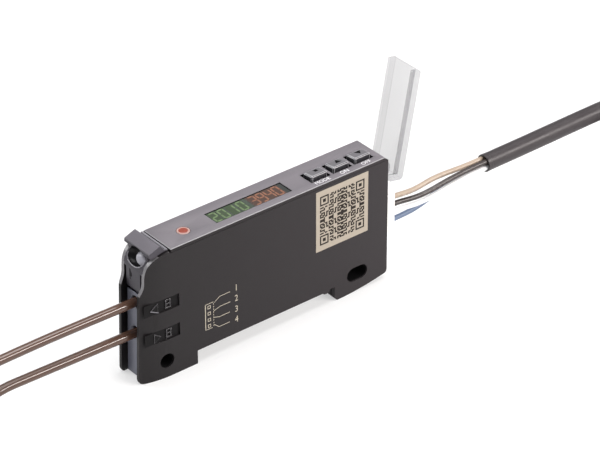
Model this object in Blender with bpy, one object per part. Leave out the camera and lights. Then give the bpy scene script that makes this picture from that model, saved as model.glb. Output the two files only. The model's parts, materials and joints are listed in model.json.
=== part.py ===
"""Fibre optic sensor amplifier for a 35 mm rail.

The slim case stands on its two feet.  X runs along the body: the two optical
fibres leave the front end at -X and the connector cable leaves the rear end
at +X.  Y is the thin direction and Z is up.

Positions are written in millimetres in the body's own grid, where x = 0 is
the front edge of the case, y = 0 its near side and z = 0 the underside of
the feet.  place() moves that grid to the model's origin, which is the middle
of the underside of the box around the amplifier with its lid open.
"""

import math

import bpy
import bmesh
from mathutils import Matrix, Vector

MM = 0.001

# ---------------------------------------------------------------- dimensions
BODY_L = 63.0            # front edge to rear face
BODY_W = 9.0             # thickness of one amplifier on the rail
BODY_H = 29.5            # feet to top panel
WALL = 1.1               # side walls
GAP = 0.3                # between neighbouring pieces
TAPER_START = 7.5        # the front end narrows from here
TAPER_RADIUS = 20.8

FOOT_REAR_EDGE = 13.8    # the rail slot lies between these two
SLOT_REAR_EDGE = 49.1
SLOT_TOP = 3.1
RAIL = 35.0

PANEL_Z0, PANEL_Z1 = 28.95, 29.5
PANEL_X0, PANEL_X1 = 7.9, 62.2
WALL_TOP = 28.65

WINDOW = (20.6, 39.6, 2.0, 6.1)          # display opening x0, x1, y0, y1
STATUS = (13.85, 3.95, 1.3)              # round indicator x, y, radius
KEY_X = (46.85, 52.45, 58.05)             # middles of the three keys
KEY_LX, KEY_Y0, KEY_Y1 = 4.1, 2.2, 5.1
KEY_GAP = 0.42
KEY_TRAVEL = 0.4

FIBRE_Y, FIBRE_Z = 4.3, (17.5, 10.3)     # upper and lower fibre axes
FIBRE_D = 2.0
BORE_R = 1.3
BLOCK_X0, BLOCK_X1 = 1.5, 16.5
BLOCK_TOP = 19.2

# x, z of the side walls' front edge, from the panel down to the straight part
FRONT_EDGE = ((7.6, 29.05), (6.6, 29.0), (5.4, 28.8), (4.4, 28.45), (3.5, 27.95),
              (2.75, 27.25), (2.27, 26.4), (2.0, 25.45), (1.88, 24.5), (1.86, 23.6),
              (1.78, 22.8), (1.6, 22.1), (1.28, 21.45), (0.97, 20.9), (0.8, 20.2))
FRONT_STEP = 0.42
TOE_X = 0.12                             # the front edge leans back a little above here

LEVER_PIVOT = (3.4, 21.0)                # x, z
COVER_PIVOT = (62.0, 25.9)
COVER_OPEN = math.radians(100.6)
COVER_REACH = 21.7                       # pivot to free end
COVER_Y0, COVER_Y1 = 0.6, 8.4            # its top and its two side plates
ARM_Y0, ARM_Y1 = 1.05, 7.95              # the arms that carry it are closer in
COVER_SHEET = 0.8
COVER_EDGE, COVER_TOP = 3.8, 6.0         # above the pivot when shut
COVER_CHAMFER = 0.4
COVER_BACK = 2.8

PLUG_Y0, PLUG_Y1 = 2.3, 6.7
PLUG_Z0, PLUG_Z1 = 7.9, 18.1
PLUG_X0, PLUG_X1 = 57.4, 67.0
WIRE_Z = (15.85, 13.95, 12.05, 10.15)
WIRE_D = 1.15
SHEATH_X0, SHEATH_Y, SHEATH_Z = 93.6, 4.3, 14.1
SHEATH_D = 3.9

TIE_T = 0.5                              # a tie's strap
HANK_Z0 = 0.9                            # the strap passes under each hank
CABLE_HANK_X0, CABLE_HANK_Y = 131.6, 1.0
CABLE_RUN, CABLE_HANK_W, CABLE_LAYERS = 74.8, 27.4, 4
FIBRE_HANK_X1, FIBRE_HANK_Y = -35.5, 3.0
FIBRE_RUN, FIBRE_HANK_W, FIBRE_LAYERS = 37.0, 18.2, 4
FIBRE_PITCH, CABLE_PITCH = 2.05, 3.95

ROUND = 28                               # sides of a round piece

# The lid leans back, so the box around the amplifier ends at its outer corner.
FAR_X = (COVER_PIVOT[0] - (COVER_REACH - COVER_CHAMFER) * math.cos(COVER_OPEN)
         + COVER_TOP * math.sin(COVER_OPEN))
ORIGIN_X, ORIGIN_Y = (TOE_X + FAR_X) / 2, BODY_W / 2


# ------------------------------------------------------------------- helpers
def place(x, y, z):
    return Vector(((x - ORIGIN_X) * MM, (y - ORIGIN_Y) * MM, z * MM))


def clear():
    for obj in list(bpy.data.objects):
        bpy.data.objects.remove(obj, do_unlink=True)


def material(name, colour, roughness=0.5, metallic=0.0, transmission=0.0):
    mat = bpy.data.materials.get(name)
    if mat is None:
        mat = bpy.data.materials.new(name)
        mat.use_nodes = True
        shader = mat.node_tree.nodes["Principled BSDF"]
        shader.inputs["Base Color"].default_value = (*colour, 1.0)
        shader.inputs["Roughness"].default_value = roughness
        shader.inputs["Metallic"].default_value = metallic
        shader.inputs["Transmission Weight"].default_value = transmission
        mat.diffuse_color = (*colour, 1.0)
    return mat


def finish(name, bm, at, mat, smooth=False):
    """Turns a bmesh in body millimetres into an object whose origin is at."""
    bmesh.ops.recalc_face_normals(bm, faces=bm.faces)
    origin = place(*at)
    for v in bm.verts:
        v.co = place(*v.co) - origin
    mesh = bpy.data.meshes.new(name)
    bm.to_mesh(mesh)
    bm.free()
    obj = bpy.data.objects.new(name, mesh)
    bpy.context.scene.collection.objects.link(obj)
    obj.location = origin
    if mat is not None:
        mesh.materials.append(mat)
    if smooth:
        mesh.shade_smooth()
        mesh.set_sharp_from_angle(angle=math.radians(35))
    return obj


def extruded(outline, vector, bm=None):
    """A closed outline of 3-D points, pushed along a vector."""
    bm = bm or bmesh.new()
    face = bm.faces.new([bm.verts.new(p) for p in outline])
    new = bmesh.ops.extrude_face_region(bm, geom=[face])["geom"]
    moved = [v for v in new if isinstance(v, bmesh.types.BMVert)]
    bmesh.ops.translate(bm, vec=Vector(vector), verts=moved)
    return bm


def slab(name, outline, y0, y1, mat=None, at=None, smooth=False):
    """An outline in x and z, extruded from y0 to y1."""
    bm = extruded([(x, y0, z) for x, z in outline], (0, y1 - y0, 0))
    return finish(name, bm, at or (outline[0][0], y0, outline[0][1]), mat, smooth)


def column(name, outline, z0, z1, mat=None, at=None, smooth=False):
    """An outline in x and y, extruded from z0 to z1."""
    bm = extruded([(x, y, z0) for x, y in outline], (0, 0, z1 - z0))
    return finish(name, bm, at or (outline[0][0], outline[0][1], z0), mat, smooth)


def box(name, x0, x1, y0, y1, z0, z1, mat=None, at=None, bevel=0.0):
    bm = extruded([(x0, y0, z0), (x1, y0, z0), (x1, y1, z0), (x0, y1, z0)],
                  (0, 0, z1 - z0))
    if bevel:
        bmesh.ops.recalc_face_normals(bm, faces=bm.faces)
        bmesh.ops.bevel(bm, geom=list(bm.edges), offset=bevel, segments=1,
                        affect="EDGES", profile=0.5)
    return finish(name, bm, at or ((x0 + x1) / 2, (y0 + y1) / 2, (z0 + z1) / 2), mat)


def ring(cx, cy, radius, n=ROUND, start=0.0):
    return [(cx + radius * math.cos(start + 2 * math.pi * i / n),
             cy + radius * math.sin(start + 2 * math.pi * i / n)) for i in range(n)]


def arc(cx, cy, radius, a0, a1, n):
    """Points on an arc, angles in degrees."""
    return [(cx + radius * math.cos(math.radians(a0 + (a1 - a0) * i / n)),
             cy + radius * math.sin(math.radians(a0 + (a1 - a0) * i / n)))
            for i in range(n + 1)]


def rod(name, a, b, radius, mat=None, n=ROUND, at=None, radius2=None):
    """A cylinder or cone between two points."""
    a, b = Vector(a), Vector(b)
    bm = bmesh.new()
    turn = (b - a).to_track_quat("Z", "Y").to_matrix().to_4x4()
    bmesh.ops.create_cone(bm, cap_ends=True, segments=n, radius1=radius,
                          radius2=radius if radius2 is None else radius2,
                          depth=(b - a).length,
                          matrix=Matrix.Translation((a + b) / 2) @ turn)
    return finish(name, bm, at or tuple((a + b) / 2), mat, smooth=True)


def turned(name, profile, axis_y, axis_z, mat, n=ROUND):
    """A profile of (x, radius) turned about an axis along X."""
    bm = bmesh.new()
    rings = []
    for x, r in profile:
        if r < 1e-6:
            rings.append([bm.verts.new((x, axis_y, axis_z))])
        else:
            rings.append([bm.verts.new((x, axis_y + r * math.cos(2 * math.pi * i / n),
                                        axis_z + r * math.sin(2 * math.pi * i / n)))
                          for i in range(n)])
    for a, b in zip(rings, rings[1:]):
        for i in range(n):
            j = (i + 1) % n
            if len(a) == 1:
                bm.faces.new([a[0], b[j], b[i]])
            elif len(b) == 1:
                bm.faces.new([a[i], a[j], b[0]])
            else:
                bm.faces.new([a[i], a[j], b[j], b[i]])
    if len(rings[0]) > 1:
        bm.faces.new(list(reversed(rings[0])))
    if len(rings[-1]) > 1:
        bm.faces.new(rings[-1])
    return finish(name, bm, (profile[0][0], axis_y, axis_z), mat, smooth=True)


def helper(obj):
    obj.hide_render = True
    obj.display_type = "WIRE"
    return obj


def boolean(obj, tool, operation):
    helper(tool)
    mod = obj.modifiers.new(f"{operation.lower()}_{tool.name}", "BOOLEAN")
    mod.object = tool
    mod.operation = operation
    mod.solver = "EXACT"
    return obj


def cut(obj, tool):
    return boolean(obj, tool, "DIFFERENCE")


def join(obj, tool):
    return boolean(obj, tool, "UNION")


def keep(obj, tool):
    return boolean(obj, tool, "INTERSECT")


def inset(x):
    """How far each side has come in at x, near the front end."""
    if x >= TAPER_START:
        return 0.0
    return TAPER_RADIUS - math.sqrt(TAPER_RADIUS ** 2 - (TAPER_START - x) ** 2)


def side_strip(depth0, depth1, far=False):
    """The plan of a side wall, between two depths below the outer face."""
    xs = [TAPER_START * i / 10 for i in range(11)] + [70.0]
    outer = [(x, inset(x) + depth0) for x in xs]
    inner = [(x, 0.7 * inset(x) + depth1) for x in reversed(xs)]
    plan = [(x - (1.0 if x == 0.0 else 0.0), y) for x, y in outer + inner]
    if far:
        plan = [(x, BODY_W - y) for x, y in plan]
    return plan


def smooth_route(points, step):
    """Even points on a cubic curve through a route's own points."""
    pts = [Vector(p) for p in points]
    n = len(pts)
    t = [0.0]
    for a, b in zip(pts, pts[1:]):
        t.append(t[-1] + (b - a).length)
    h = [t[i + 1] - t[i] for i in range(n - 1)]
    second = []
    for k in range(3):
        lower, diag, upper, rhs = [0.0] * n, [1.0] * n, [0.0] * n, [0.0] * n
        for i in range(1, n - 1):
            lower[i], upper[i] = h[i - 1], h[i]
            diag[i] = 2 * (h[i - 1] + h[i])
            rhs[i] = 6 * ((pts[i + 1][k] - pts[i][k]) / h[i]
                          - (pts[i][k] - pts[i - 1][k]) / h[i - 1])
        for i in range(1, n):
            w = lower[i] / diag[i - 1]
            diag[i] -= w * upper[i - 1]
            rhs[i] -= w * rhs[i - 1]
        m = [0.0] * n
        m[-1] = rhs[-1] / diag[-1]
        for i in range(n - 2, -1, -1):
            m[i] = (rhs[i] - upper[i] * m[i + 1]) / diag[i]
        second.append(m)

    def at(s):
        i = max(j for j in range(n - 1) if t[j] <= s + 1e-9)
        u, v = t[i + 1] - s, s - t[i]
        return Vector([
            (second[k][i] * u ** 3 + second[k][i + 1] * v ** 3) / (6 * h[i])
            + (pts[i][k] / h[i] - second[k][i] * h[i] / 6) * u
            + (pts[i + 1][k] / h[i] - second[k][i + 1] * h[i] / 6) * v
            for k in range(3)])

    count = max(2, round(t[-1] / step))
    return [at(t[-1] * i / count) for i in range(count + 1)]


def tube(name, route, diameter, mat, sides=2):
    """A cord's plain tube: a poly curve with a round bevel and filled caps."""
    points = smooth_route(route, 2.5 * diameter)
    start = place(*points[0])
    curve = bpy.data.curves.new(name, "CURVE")
    curve.dimensions = "3D"
    curve.bevel_depth = diameter / 2 * MM
    curve.bevel_resolution = sides
    curve.use_fill_caps = True
    spline = curve.splines.new("POLY")
    spline.points.add(len(points) - 1)
    for p, q in zip(spline.points, points):
        p.co = (*(place(*q) - start), 1.0)
    obj = bpy.data.objects.new(name, curve)
    bpy.context.scene.collection.objects.link(obj)
    obj.location = start
    curve.materials.append(mat)
    return obj


def hank(name, x0, x1, y, width, z0, z1, mat):
    """The outer shape of a hank: two runs side by side with round ends."""
    r = width / 2
    outline = (arc(x1 - r, y, r, -90, 90, 10) + arc(x0 + r, y, r, 90, 270, 10))
    return column(name, outline, z0, z1, mat, at=((x0 + x1) / 2, y, z0))


def strap(name, x0, x1, y, width, z0, z1, mat):
    """A closed tie round a hank, with a small square lock on top."""
    w = width / 2
    obj = box(name, x0, x1, y - w - GAP - TIE_T, y + w + GAP + TIE_T,
              z0 - GAP - TIE_T, z1 + GAP + TIE_T, mat)
    cut(obj, box(name + "_inside", x0 - 1, x1 + 1, y - w - GAP, y + w + GAP,
                 z0 - GAP, z1 + GAP))
    xm = (x0 + x1) / 2
    join(obj, box(name + "_lock", xm - 1.9, xm + 1.9, y - 2.0, y + 2.0,
                  z1 + GAP + 0.2, z1 + GAP + 2.4))
    return obj


# ----------------------------------------------------------------- materials
clear()
case_black = material("case_charcoal", (0.055, 0.055, 0.058), 0.48)
block_grey = material("fibre_block_grey", (0.09, 0.09, 0.11), 0.42)
panel_grey = material("panel_grey", (0.24, 0.23, 0.25), 0.45)
key_grey = material("key_grey", (0.27, 0.26, 0.28), 0.4)
lens_dark = material("display_lens_smoke", (0.02, 0.02, 0.022), 0.12)
display_black = material("display_black", (0.01, 0.01, 0.01), 0.4)
amber = material("indicator_orange", (0.8, 0.12, 0.04), 0.25)
clear_plastic = material("clear_cover", (0.86, 0.86, 0.88), 0.08, 0.0, 0.9)
white_plastic = material("plug_white", (0.8, 0.8, 0.79), 0.4)
header_plastic = material("header_cream", (0.6, 0.57, 0.5), 0.45)
board_green = material("board_green", (0.02, 0.11, 0.05), 0.4)
chip_black = material("chip_black", (0.015, 0.015, 0.015), 0.5)
steel = material("steel", (0.6, 0.6, 0.6), 0.3, 1.0)
brass = material("plated_brass", (0.62, 0.6, 0.55), 0.28, 1.0)
brown_wire = material("wire_brown", (0.42, 0.31, 0.22), 0.5)
black_wire = material("wire_black", (0.03, 0.03, 0.032), 0.45)
white_wire = material("wire_white", (0.8, 0.8, 0.8), 0.5)
blue_wire = material("wire_blue", (0.12, 0.16, 0.28), 0.5)
sheath_grey = material("sheath_grey", (0.1, 0.095, 0.1), 0.55)
fibre_brown = material("fibre_jacket", (0.13, 0.085, 0.07), 0.35)
tie_black = material("tie_black", (0.03, 0.03, 0.03), 0.5)
opto_black = material("opto_black", (0.02, 0.02, 0.025), 0.35)


# ---------------------------------------------------------- the side outline
def side_outline():
    """The case seen from its near side, clockwise from the front foot."""
    pts = [(TOE_X, 1.3), (0.2, 0.75), (0.45, 0.3), (0.9, 0.06), (1.5, 0.0)]
    pts += [(FOOT_REAR_EDGE, 0.0), (FOOT_REAR_EDGE, SLOT_TOP)]
    # the rail spring's nose and the notch behind it
    pts += [(45.9, SLOT_TOP), (46.3, 2.78), (46.9, 2.68), (47.5, 2.8),
            (47.9, 3.45), (SLOT_REAR_EDGE, 3.45)]
    # the rear foot rises towards the rear on a long arc
    pts += [(SLOT_REAR_EDGE, 0.62), (SLOT_REAR_EDGE + 0.6, 0.0), (51.4, 0.02),
            (54.0, 0.17), (57.2, 0.5), (60.2, 0.95), (62.3, 1.34),
            (62.8, 1.6), (BODY_L, 2.1)]
    pts += [(BODY_L, WALL_TOP), (PANEL_X0 - GAP, WALL_TOP)]
    # the shoulder that the lever follows, and the S shaped front edge
    front = smooth_route([(x, 0.0, z) for x, z in FRONT_EDGE], FRONT_STEP)
    pts += [(p.x, p.z) for p in front]
    return pts


OUTLINE = side_outline()

# --------------------------------------------------------------- side cover
side_cover = slab("side_cover", OUTLINE, -1.0, 5.0, case_black,
                  at=(30.0, 0.0, 15.0))
keep(side_cover, column("side_cover_plan", side_strip(0.0, WALL), -2.0, 40.0))


def wall_openings(obj, y0, y1, tag):
    """The two fixing holes through a side wall."""
    cut(obj, rod("front_hole_" + tag, (6.35, y0, 3.9), (6.35, y1, 3.9), 1.65, n=24))
    oval = (arc(56.05, 4.4, 1.65, -90, 90, 10) + arc(53.95, 4.4, 1.65, 90, 270, 10))
    cut(obj, slab("rear_slot_" + tag, oval, y0, y1))


wall_openings(side_cover, -0.5, 3.0, "near")
# two shallow fields with a raised arrow each, one for either fibre
for tag, zc in (("upper", 17.2), ("lower", 10.3)):
    field = box("field_" + tag, 1.2, 9.6, -0.5, 0.4 - (0.0), zc - 1.45, zc + 1.45)
    cut(side_cover, field)
# the lid's knuckle turns in a pocket behind the wall, its pin in a blind hole
cut(side_cover, box("near_pocket", 58.9, 64.0, 0.75, 2.0, 22.8, 29.5))
cut(side_cover, rod("near_pin_hole", (COVER_PIVOT[0], 0.35, COVER_PIVOT[1]),
                    (COVER_PIVOT[0], 1.5, COVER_PIVOT[1]), 0.85, n=16))
cut(side_cover, rod("near_lever_hole", (LEVER_PIVOT[0], 0.95, LEVER_PIVOT[1]),
                    (LEVER_PIVOT[0], 2.5, LEVER_PIVOT[1]), 0.8, n=16))

# ---------------------------------------------------------------- main case
main_case = slab("main_case", OUTLINE, 4.0, 10.0, case_black, at=(30.0, 9.0, 15.0))
keep(main_case, column("main_case_plan", side_strip(0.0, WALL, far=True), -2.0, 40.0))
Y_IN0, Y_IN1 = WALL + GAP, BODY_W - WALL + 0.4
# front foot web, with the lip that hooks under the rail
join(main_case, box("foot_web", 11.8, FOOT_REAR_EDGE, Y_IN0, Y_IN1, 0.02, 5.0))
join(main_case, box("foot_lip", 13.0, 15.0, 2.9, 6.1, 0.3, 1.15))
# floor over the rail, rear foot and rear wall
floor_outline = [(12.4, 3.12), (45.6, 3.12), (47.6, 3.5), (61.6, 3.5), (61.6, 4.6),
                 (36.0, 4.6), (12.4, 4.6)]
join(main_case, slab("floor", floor_outline, Y_IN0, Y_IN1))
rear_foot = [(SLOT_REAR_EDGE + 0.02, 3.7), (SLOT_REAR_EDGE + 0.02, 0.65),
             (SLOT_REAR_EDGE + 0.6, 0.04), (51.4, 0.05), (51.6, 1.3),
             (51.0, 1.3), (51.0, 3.7)]
join(main_case, slab("rear_foot_web", rear_foot, Y_IN0, Y_IN1))
sole = [(50.9, 0.05), (51.4, 0.05), (54.0, 0.2), (57.2, 0.53), (60.2, 0.98),
        (62.9, 1.8), (62.9, 2.9), (60.0, 2.1), (57.0, 1.6), (54.0, 1.3), (50.9, 1.2)]
join(main_case, slab("rear_sole", sole, Y_IN0, Y_IN1))
join(main_case, box("rear_wall", 62.05, BODY_L - 0.02, Y_IN0, Y_IN1, 1.7, WALL_TOP))
# a rib behind the fibre clamp carries the sensing elements
join(main_case, box("element_rib", 22.6, 23.6, 6.2, Y_IN1, 4.5, 21.5))
# groove for the rail spring
cut(main_case, box("spring_groove", 35.4, 49.3, 2.6, 6.4, 2.5, 4.05))
cut(main_case, box("spring_relief", 47.5, 49.5, 2.6, 6.4, 0.2, 4.05))
# connector opening, and the slots that the lid's arms swing in
cut(main_case, box("connector_opening", 61.0, 64.0, 1.9, 7.1, 7.4, 18.6))
for tag, y0, y1 in (("near", 1.2, 2.2), ("far", 6.8, 8.25)):
    cut(main_case, box("arm_slot_" + tag, 58.9, 64.0, y0, y1, 22.8, 29.5))
wall_openings(main_case, 5.0, 10.0, "far")
cut(main_case, rod("far_pin_hole", (COVER_PIVOT[0], 7.5, COVER_PIVOT[1]),
                   (COVER_PIVOT[0], 8.65, COVER_PIVOT[1]), 0.85, n=16))
cut(main_case, rod("far_lever_hole", (LEVER_PIVOT[0], 6.5, LEVER_PIVOT[1]),
                   (LEVER_PIVOT[0], 8.05, LEVER_PIVOT[1]), 0.8, n=16))
# open channel so that the rear fixing screw passes between the walls
cut(main_case, slab("screw_way", (arc(56.05, 4.4, 1.65, -90, 90, 8)
                                  + arc(53.95, 4.4, 1.65, 90, 270, 8)), 1.0, 6.0))

# ----------------------------------------------------------------- rail spring
spring = [(35.9, 3.4), (47.95, 3.4), (47.95, 1.35), (47.2, 1.35), (47.2, 0.85),
          (48.65, 0.85), (48.65, 3.85), (35.9, 3.85)]
slab("rail_spring", spring, 2.95, 6.05, steel, at=(36.0, 4.5, 3.6))

# -------------------------------------------------------------- fibre block
# its top is hollowed out to follow the lever's round foot
block_outline = ([(BLOCK_X0, 0.35), (BLOCK_X0 + 0.3, 0.06), (11.4, 0.06),
                  (11.4, 5.4), (BLOCK_X1, 5.4), (BLOCK_X1, BLOCK_TOP)]
                 + arc(LEVER_PIVOT[0], LEVER_PIVOT[1], 1.8, 285, 224, 8))
fibre_block = slab("fibre_block", block_outline, 2.1, 6.9, block_grey,
                   at=(BLOCK_X0, 4.5, 10.0))
for tag, z in zip(("upper", "lower"), FIBRE_Z):
    cut(fibre_block, rod("bore_" + tag, (0.0, FIBRE_Y, z), (18.0, FIBRE_Y, z),
                         BORE_R, n=20))
    cut(fibre_block, rod("mouth_" + tag, (1.2, FIBRE_Y, z), (2.5, FIBRE_Y, z),
                         2.1, n=20, radius2=1.1))
cut(fibre_block, rod("block_screw_way", (6.35, 1.0, 3.9), (6.35, 8.0, 3.9), 1.8, n=20))

clamp = box("fibre_clamp", 16.9, 18.3, 2.3, 6.5, 5.6, 20.4, block_grey)
for tag, z in zip(("upper", "lower"), FIBRE_Z):
    cut(clamp, rod("clamp_bore_" + tag, (16.0, FIBRE_Y, z), (19.0, FIBRE_Y, z),
                   BORE_R, n=16))

for name, z in (("emitter_element", FIBRE_Z[0]), ("receiver_element", FIBRE_Z[1])):
    turned(name, [(19.1, 0.0), (19.25, 0.9), (19.7, 1.35), (20.6, 1.5),
                  (20.6, 1.75), (22.3, 1.75)], FIBRE_Y, z, opto_black, n=16)

# -------------------------------------------------------------------- lever
px, pz = LEVER_PIVOT
scoop = arc(2.55, 27.85, 1.62, 72, -110, 18)
lever_outline = ([(7.45, 29.45), (6.6, 29.62), (5.8, 30.72), (5.45, 30.85),
                  (3.25, 29.98), (2.98, 29.7)] + scoop
                 + [(1.93, 25.0), (1.93, 22.5)]
                 + arc(px, pz, 1.47, 180, 300, 12)
                 + [(4.87, 21.0), (4.87, 24.5), (5.3, 26.8), (7.45, 28.5)])
lever = slab("lock_lever", lever_outline, 2.25, 6.75, panel_grey,
             at=(px, 4.5, pz))
# the grip is as wide as the body and rides over the case's shoulders
grip = [(7.45, 29.45), (6.6, 29.62), (5.8, 30.72), (5.45, 30.85), (3.25, 29.98),
        (2.98, 29.7), (2.98, 29.1), (3.5, 28.6), (4.4, 28.8), (5.4, 29.12),
        (6.6, 29.3), (7.45, 29.33)]
grip_solid = slab("grip", grip, 0.45, 8.55)
join(lever, grip_solid)
cut(lever, rod("lever_bore", (px, 1.0, pz), (px, 8.0, pz), 0.8, n=16))
rod("lever_pin", (px, 1.05, pz), (px, 7.95, pz), 0.5, steel, n=16)

# ---------------------------------------------------------------- top panel
panel = box("top_panel", PANEL_X0, PANEL_X1, 0.06, BODY_W - 0.06, PANEL_Z0,
            PANEL_Z1, panel_grey, bevel=0.14)
x0, x1, y0, y1 = WINDOW
cut(panel, box("window_opening", x0, x1, y0, y1, 28.0, 30.0))
cut(panel, rod("status_opening", (STATUS[0], STATUS[1], 28.0),
               (STATUS[0], STATUS[1], 30.0), STATUS[2] + GAP, n=24))
for i, kx in enumerate(KEY_X):
    cut(panel, box(f"key_opening_{i}", kx - KEY_LX / 2 - KEY_GAP,
                   kx + KEY_LX / 2 + KEY_GAP, KEY_Y0 - KEY_GAP, KEY_Y1 + KEY_GAP,
                   28.0, 30.0))

box("display_lens", x0 + GAP, x1 - GAP, y0 + GAP, y1 - GAP, 28.85, 29.35, lens_dark)
box("display_module", x0 + 0.2, x1 - 0.2, y0 + 0.1, y1 - 0.1, 26.5, 28.5,
    display_black)
sx, sy, sr = STATUS
lens = rod("status_lens", (sx, sy, 28.75), (sx, sy, 29.62), sr, amber, n=24,
           radius2=sr - 0.2)
join(lens, rod("status_stem", (sx, sy, 27.4), (sx, sy, 28.9), sr - 0.25, n=24))
box("status_led", sx - 0.8, sx + 0.8, sy - 0.5, sy + 0.5, 26.5, 27.1, header_plastic)

# --------------------------------------------------------------------- keys
for name, kx in zip(("key_mode", "key_on", "key_off"), KEY_X):
    a, b = kx - KEY_LX / 2, kx + KEY_LX / 2
    bm = bmesh.new()
    # the cap is a little higher along its near edge
    ring_low = [(a, KEY_Y0), (b, KEY_Y0), (b, KEY_Y1), (a, KEY_Y1)]
    low = [bm.verts.new((x, y, 28.3)) for x, y in ring_low]
    high = [bm.verts.new((x, y, 30.55 if y == KEY_Y0 else 30.15)) for x, y in ring_low]
    bm.faces.new(low)
    bm.faces.new(high)
    for i in range(4):
        j = (i + 1) % 4
        bm.faces.new([low[i], low[j], high[j], high[i]])
    bmesh.ops.recalc_face_normals(bm, faces=bm.faces)
    top = [e for e in bm.edges if all(v.co.z > 29 for v in e.verts)]
    upright = [e for e in bm.edges if abs(e.verts[0].co.z - e.verts[1].co.z) > 1]
    bmesh.ops.bevel(bm, geom=top + upright, offset=0.25, segments=1,
                    affect="EDGES", profile=0.5)
    key = finish(name, bm, (kx, (KEY_Y0 + KEY_Y1) / 2, 28.3), key_grey)
    # a flange under the panel keeps the cap in, and a stem presses the switch
    join(key, box(name + "_flange", kx - 2.4, kx + 2.4, 1.45, 5.85, 28.2, 28.6))
    join(key, box(name + "_stem", kx - 0.8, kx + 0.8, 2.9, 4.4, 28.03, 28.4))
    box(name.replace("key", "switch"), kx - 1.5, kx + 1.5, 2.4, 5.0, 26.5, 27.6,
        chip_black)

# ------------------------------------------------------------------- boards
box("display_board", 9.2, 58.4, 1.7, 6.4, 25.4, 26.2, board_green)
box("main_board", 24.2, 58.4, 6.85, 7.55, 7.3, 26.4, board_green)
box("processor_chip", 34.0, 41.0, 5.7, 6.5, 12.0, 19.0, chip_black)

# --------------------------------------------------------- rear connector
header = box("header", 50.6, 61.7, 2.3, 6.5, 7.8, 18.2, header_plastic)
cut(header, box("header_mouth", 52.6, 63.0, 3.0, 5.8, 8.6, 17.4))
for i, z in enumerate(WIRE_Z):
    pin = box(f"header_pin_{i}", 49.4, 56.0, 4.15, 4.65, z - 0.85 + 0.6, z - 0.25 + 0.5)
    join(header, pin)

plug = box("plug", 57.0, 61.8, 3.3, 5.5, 8.9, 17.1, white_plastic)
# the shell outside the body is wider than the tongue inside the header
join(plug, box("plug_shell", 61.7, PLUG_X1, 3.0 - 0.6, 5.8 + 0.7, 8.0, 18.0))
for i, z in enumerate(WIRE_Z):
    cut(plug, rod(f"plug_way_{i}", (64.6, 4.4, z), (69.0, 4.4, z), 0.85, n=12))

# ------------------------------------------------------- wires and the cable
WIRE_NAMES = ("wire_brown", "wire_black", "wire_white", "wire_blue")
WIRE_MATS = (brown_wire, black_wire, white_wire, blue_wire)
WIRE_SAG = (0.9, 0.55, 0.3, 0.1)
WIRE_ENDS = ((0.73, 0.73), (-0.73, 0.73), (-0.73, -0.73), (0.73, -0.73))


def ease(x, a, b):
    u = min(1.0, max(0.0, (x - a) / (b - a)))
    return u * u * (3 - 2 * u)


def wire_route(i):
    """From the plug, straight, then together into the sheath's cut end."""
    dy, dz = WIRE_ENDS[i]
    route = []
    for x in (65.0, 68.5, 72.0, 75.5, 79.0, 82.5, 86.0, 89.5, SHEATH_X0 - GAP):
        beside = ease(x, 68.5, 80.0)
        down = ease(x, 73.0, 91.0)
        sag = WIRE_SAG[i] * math.exp(-((x - 74.5) / 5.0) ** 2)
        route.append((x, 4.4 + beside * (SHEATH_Y + dy - 4.4),
                      WIRE_Z[i] + down * (SHEATH_Z + dz - WIRE_Z[i]) - sag))
    return route


for i, name in enumerate(WIRE_NAMES):
    tube(name, wire_route(i), WIRE_D, WIRE_MATS[i])

SHEATH_ROUTE = [(SHEATH_X0, SHEATH_Y, SHEATH_Z), (101.0, SHEATH_Y, SHEATH_Z + 0.05),
                (110.0, SHEATH_Y, SHEATH_Z + 0.15), (120.0, SHEATH_Y, SHEATH_Z + 0.3),
                (CABLE_HANK_X0 - GAP - 0.2, SHEATH_Y, SHEATH_Z + 0.4)]
tube("cable_sheath", SHEATH_ROUTE, SHEATH_D, sheath_grey)

cable_hank_x1 = CABLE_HANK_X0 + CABLE_RUN + CABLE_HANK_W
cable_hank_z1 = HANK_Z0 + CABLE_LAYERS * CABLE_PITCH
hank("cable_hank", CABLE_HANK_X0, cable_hank_x1, CABLE_HANK_Y, CABLE_HANK_W,
     HANK_Z0, cable_hank_z1, sheath_grey)
cable_mid = (CABLE_HANK_X0 + cable_hank_x1) / 2
strap("cable_tie", cable_mid - 1.8, cable_mid + 1.8, CABLE_HANK_Y, CABLE_HANK_W,
      HANK_Z0, cable_hank_z1, tie_black)
# the last of the cable lies on the floor past the hank, with its four leads
tail_y = CABLE_HANK_Y - (CABLE_HANK_W - SHEATH_D) / 2
tail_x0 = cable_hank_x1 - 1.6
tail_x1 = tail_x0 + 4.5
tube("cable_tail", [(tail_x0, tail_y, 2.2), (tail_x0 + 2.3, tail_y, 2.05),
                    (tail_x1, tail_y, 2.0)], SHEATH_D, sheath_grey)
leads = []
for i, name in enumerate(("lead_brown", "lead_black", "lead_white", "lead_blue")):
    dy, dz = WIRE_ENDS[i]
    s = tail_x1 + GAP
    tube(name, [(s, tail_y + dy, 2.0 + dz),
                (s + 2.6, tail_y + 1.4 * dy, 1.7 + dz),
                (s + 5.5, tail_y + 2.2 * dy * (1.2 if dz < 0 else 1.0),
                 0.75 if dz < 0 else 1.9)],
         WIRE_D, WIRE_MATS[i])

# ------------------------------------------------------------------- fibres
hank_mid = FIBRE_HANK_X1 - (FIBRE_RUN + FIBRE_HANK_W) / 2
fibre_hank_x0 = FIBRE_HANK_X1 - FIBRE_RUN - FIBRE_HANK_W
lower_z = (HANK_Z0, HANK_Z0 + FIBRE_LAYERS * FIBRE_PITCH)
upper_z = (lower_z[1] + GAP, lower_z[1] + GAP + FIBRE_LAYERS * FIBRE_PITCH)


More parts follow.
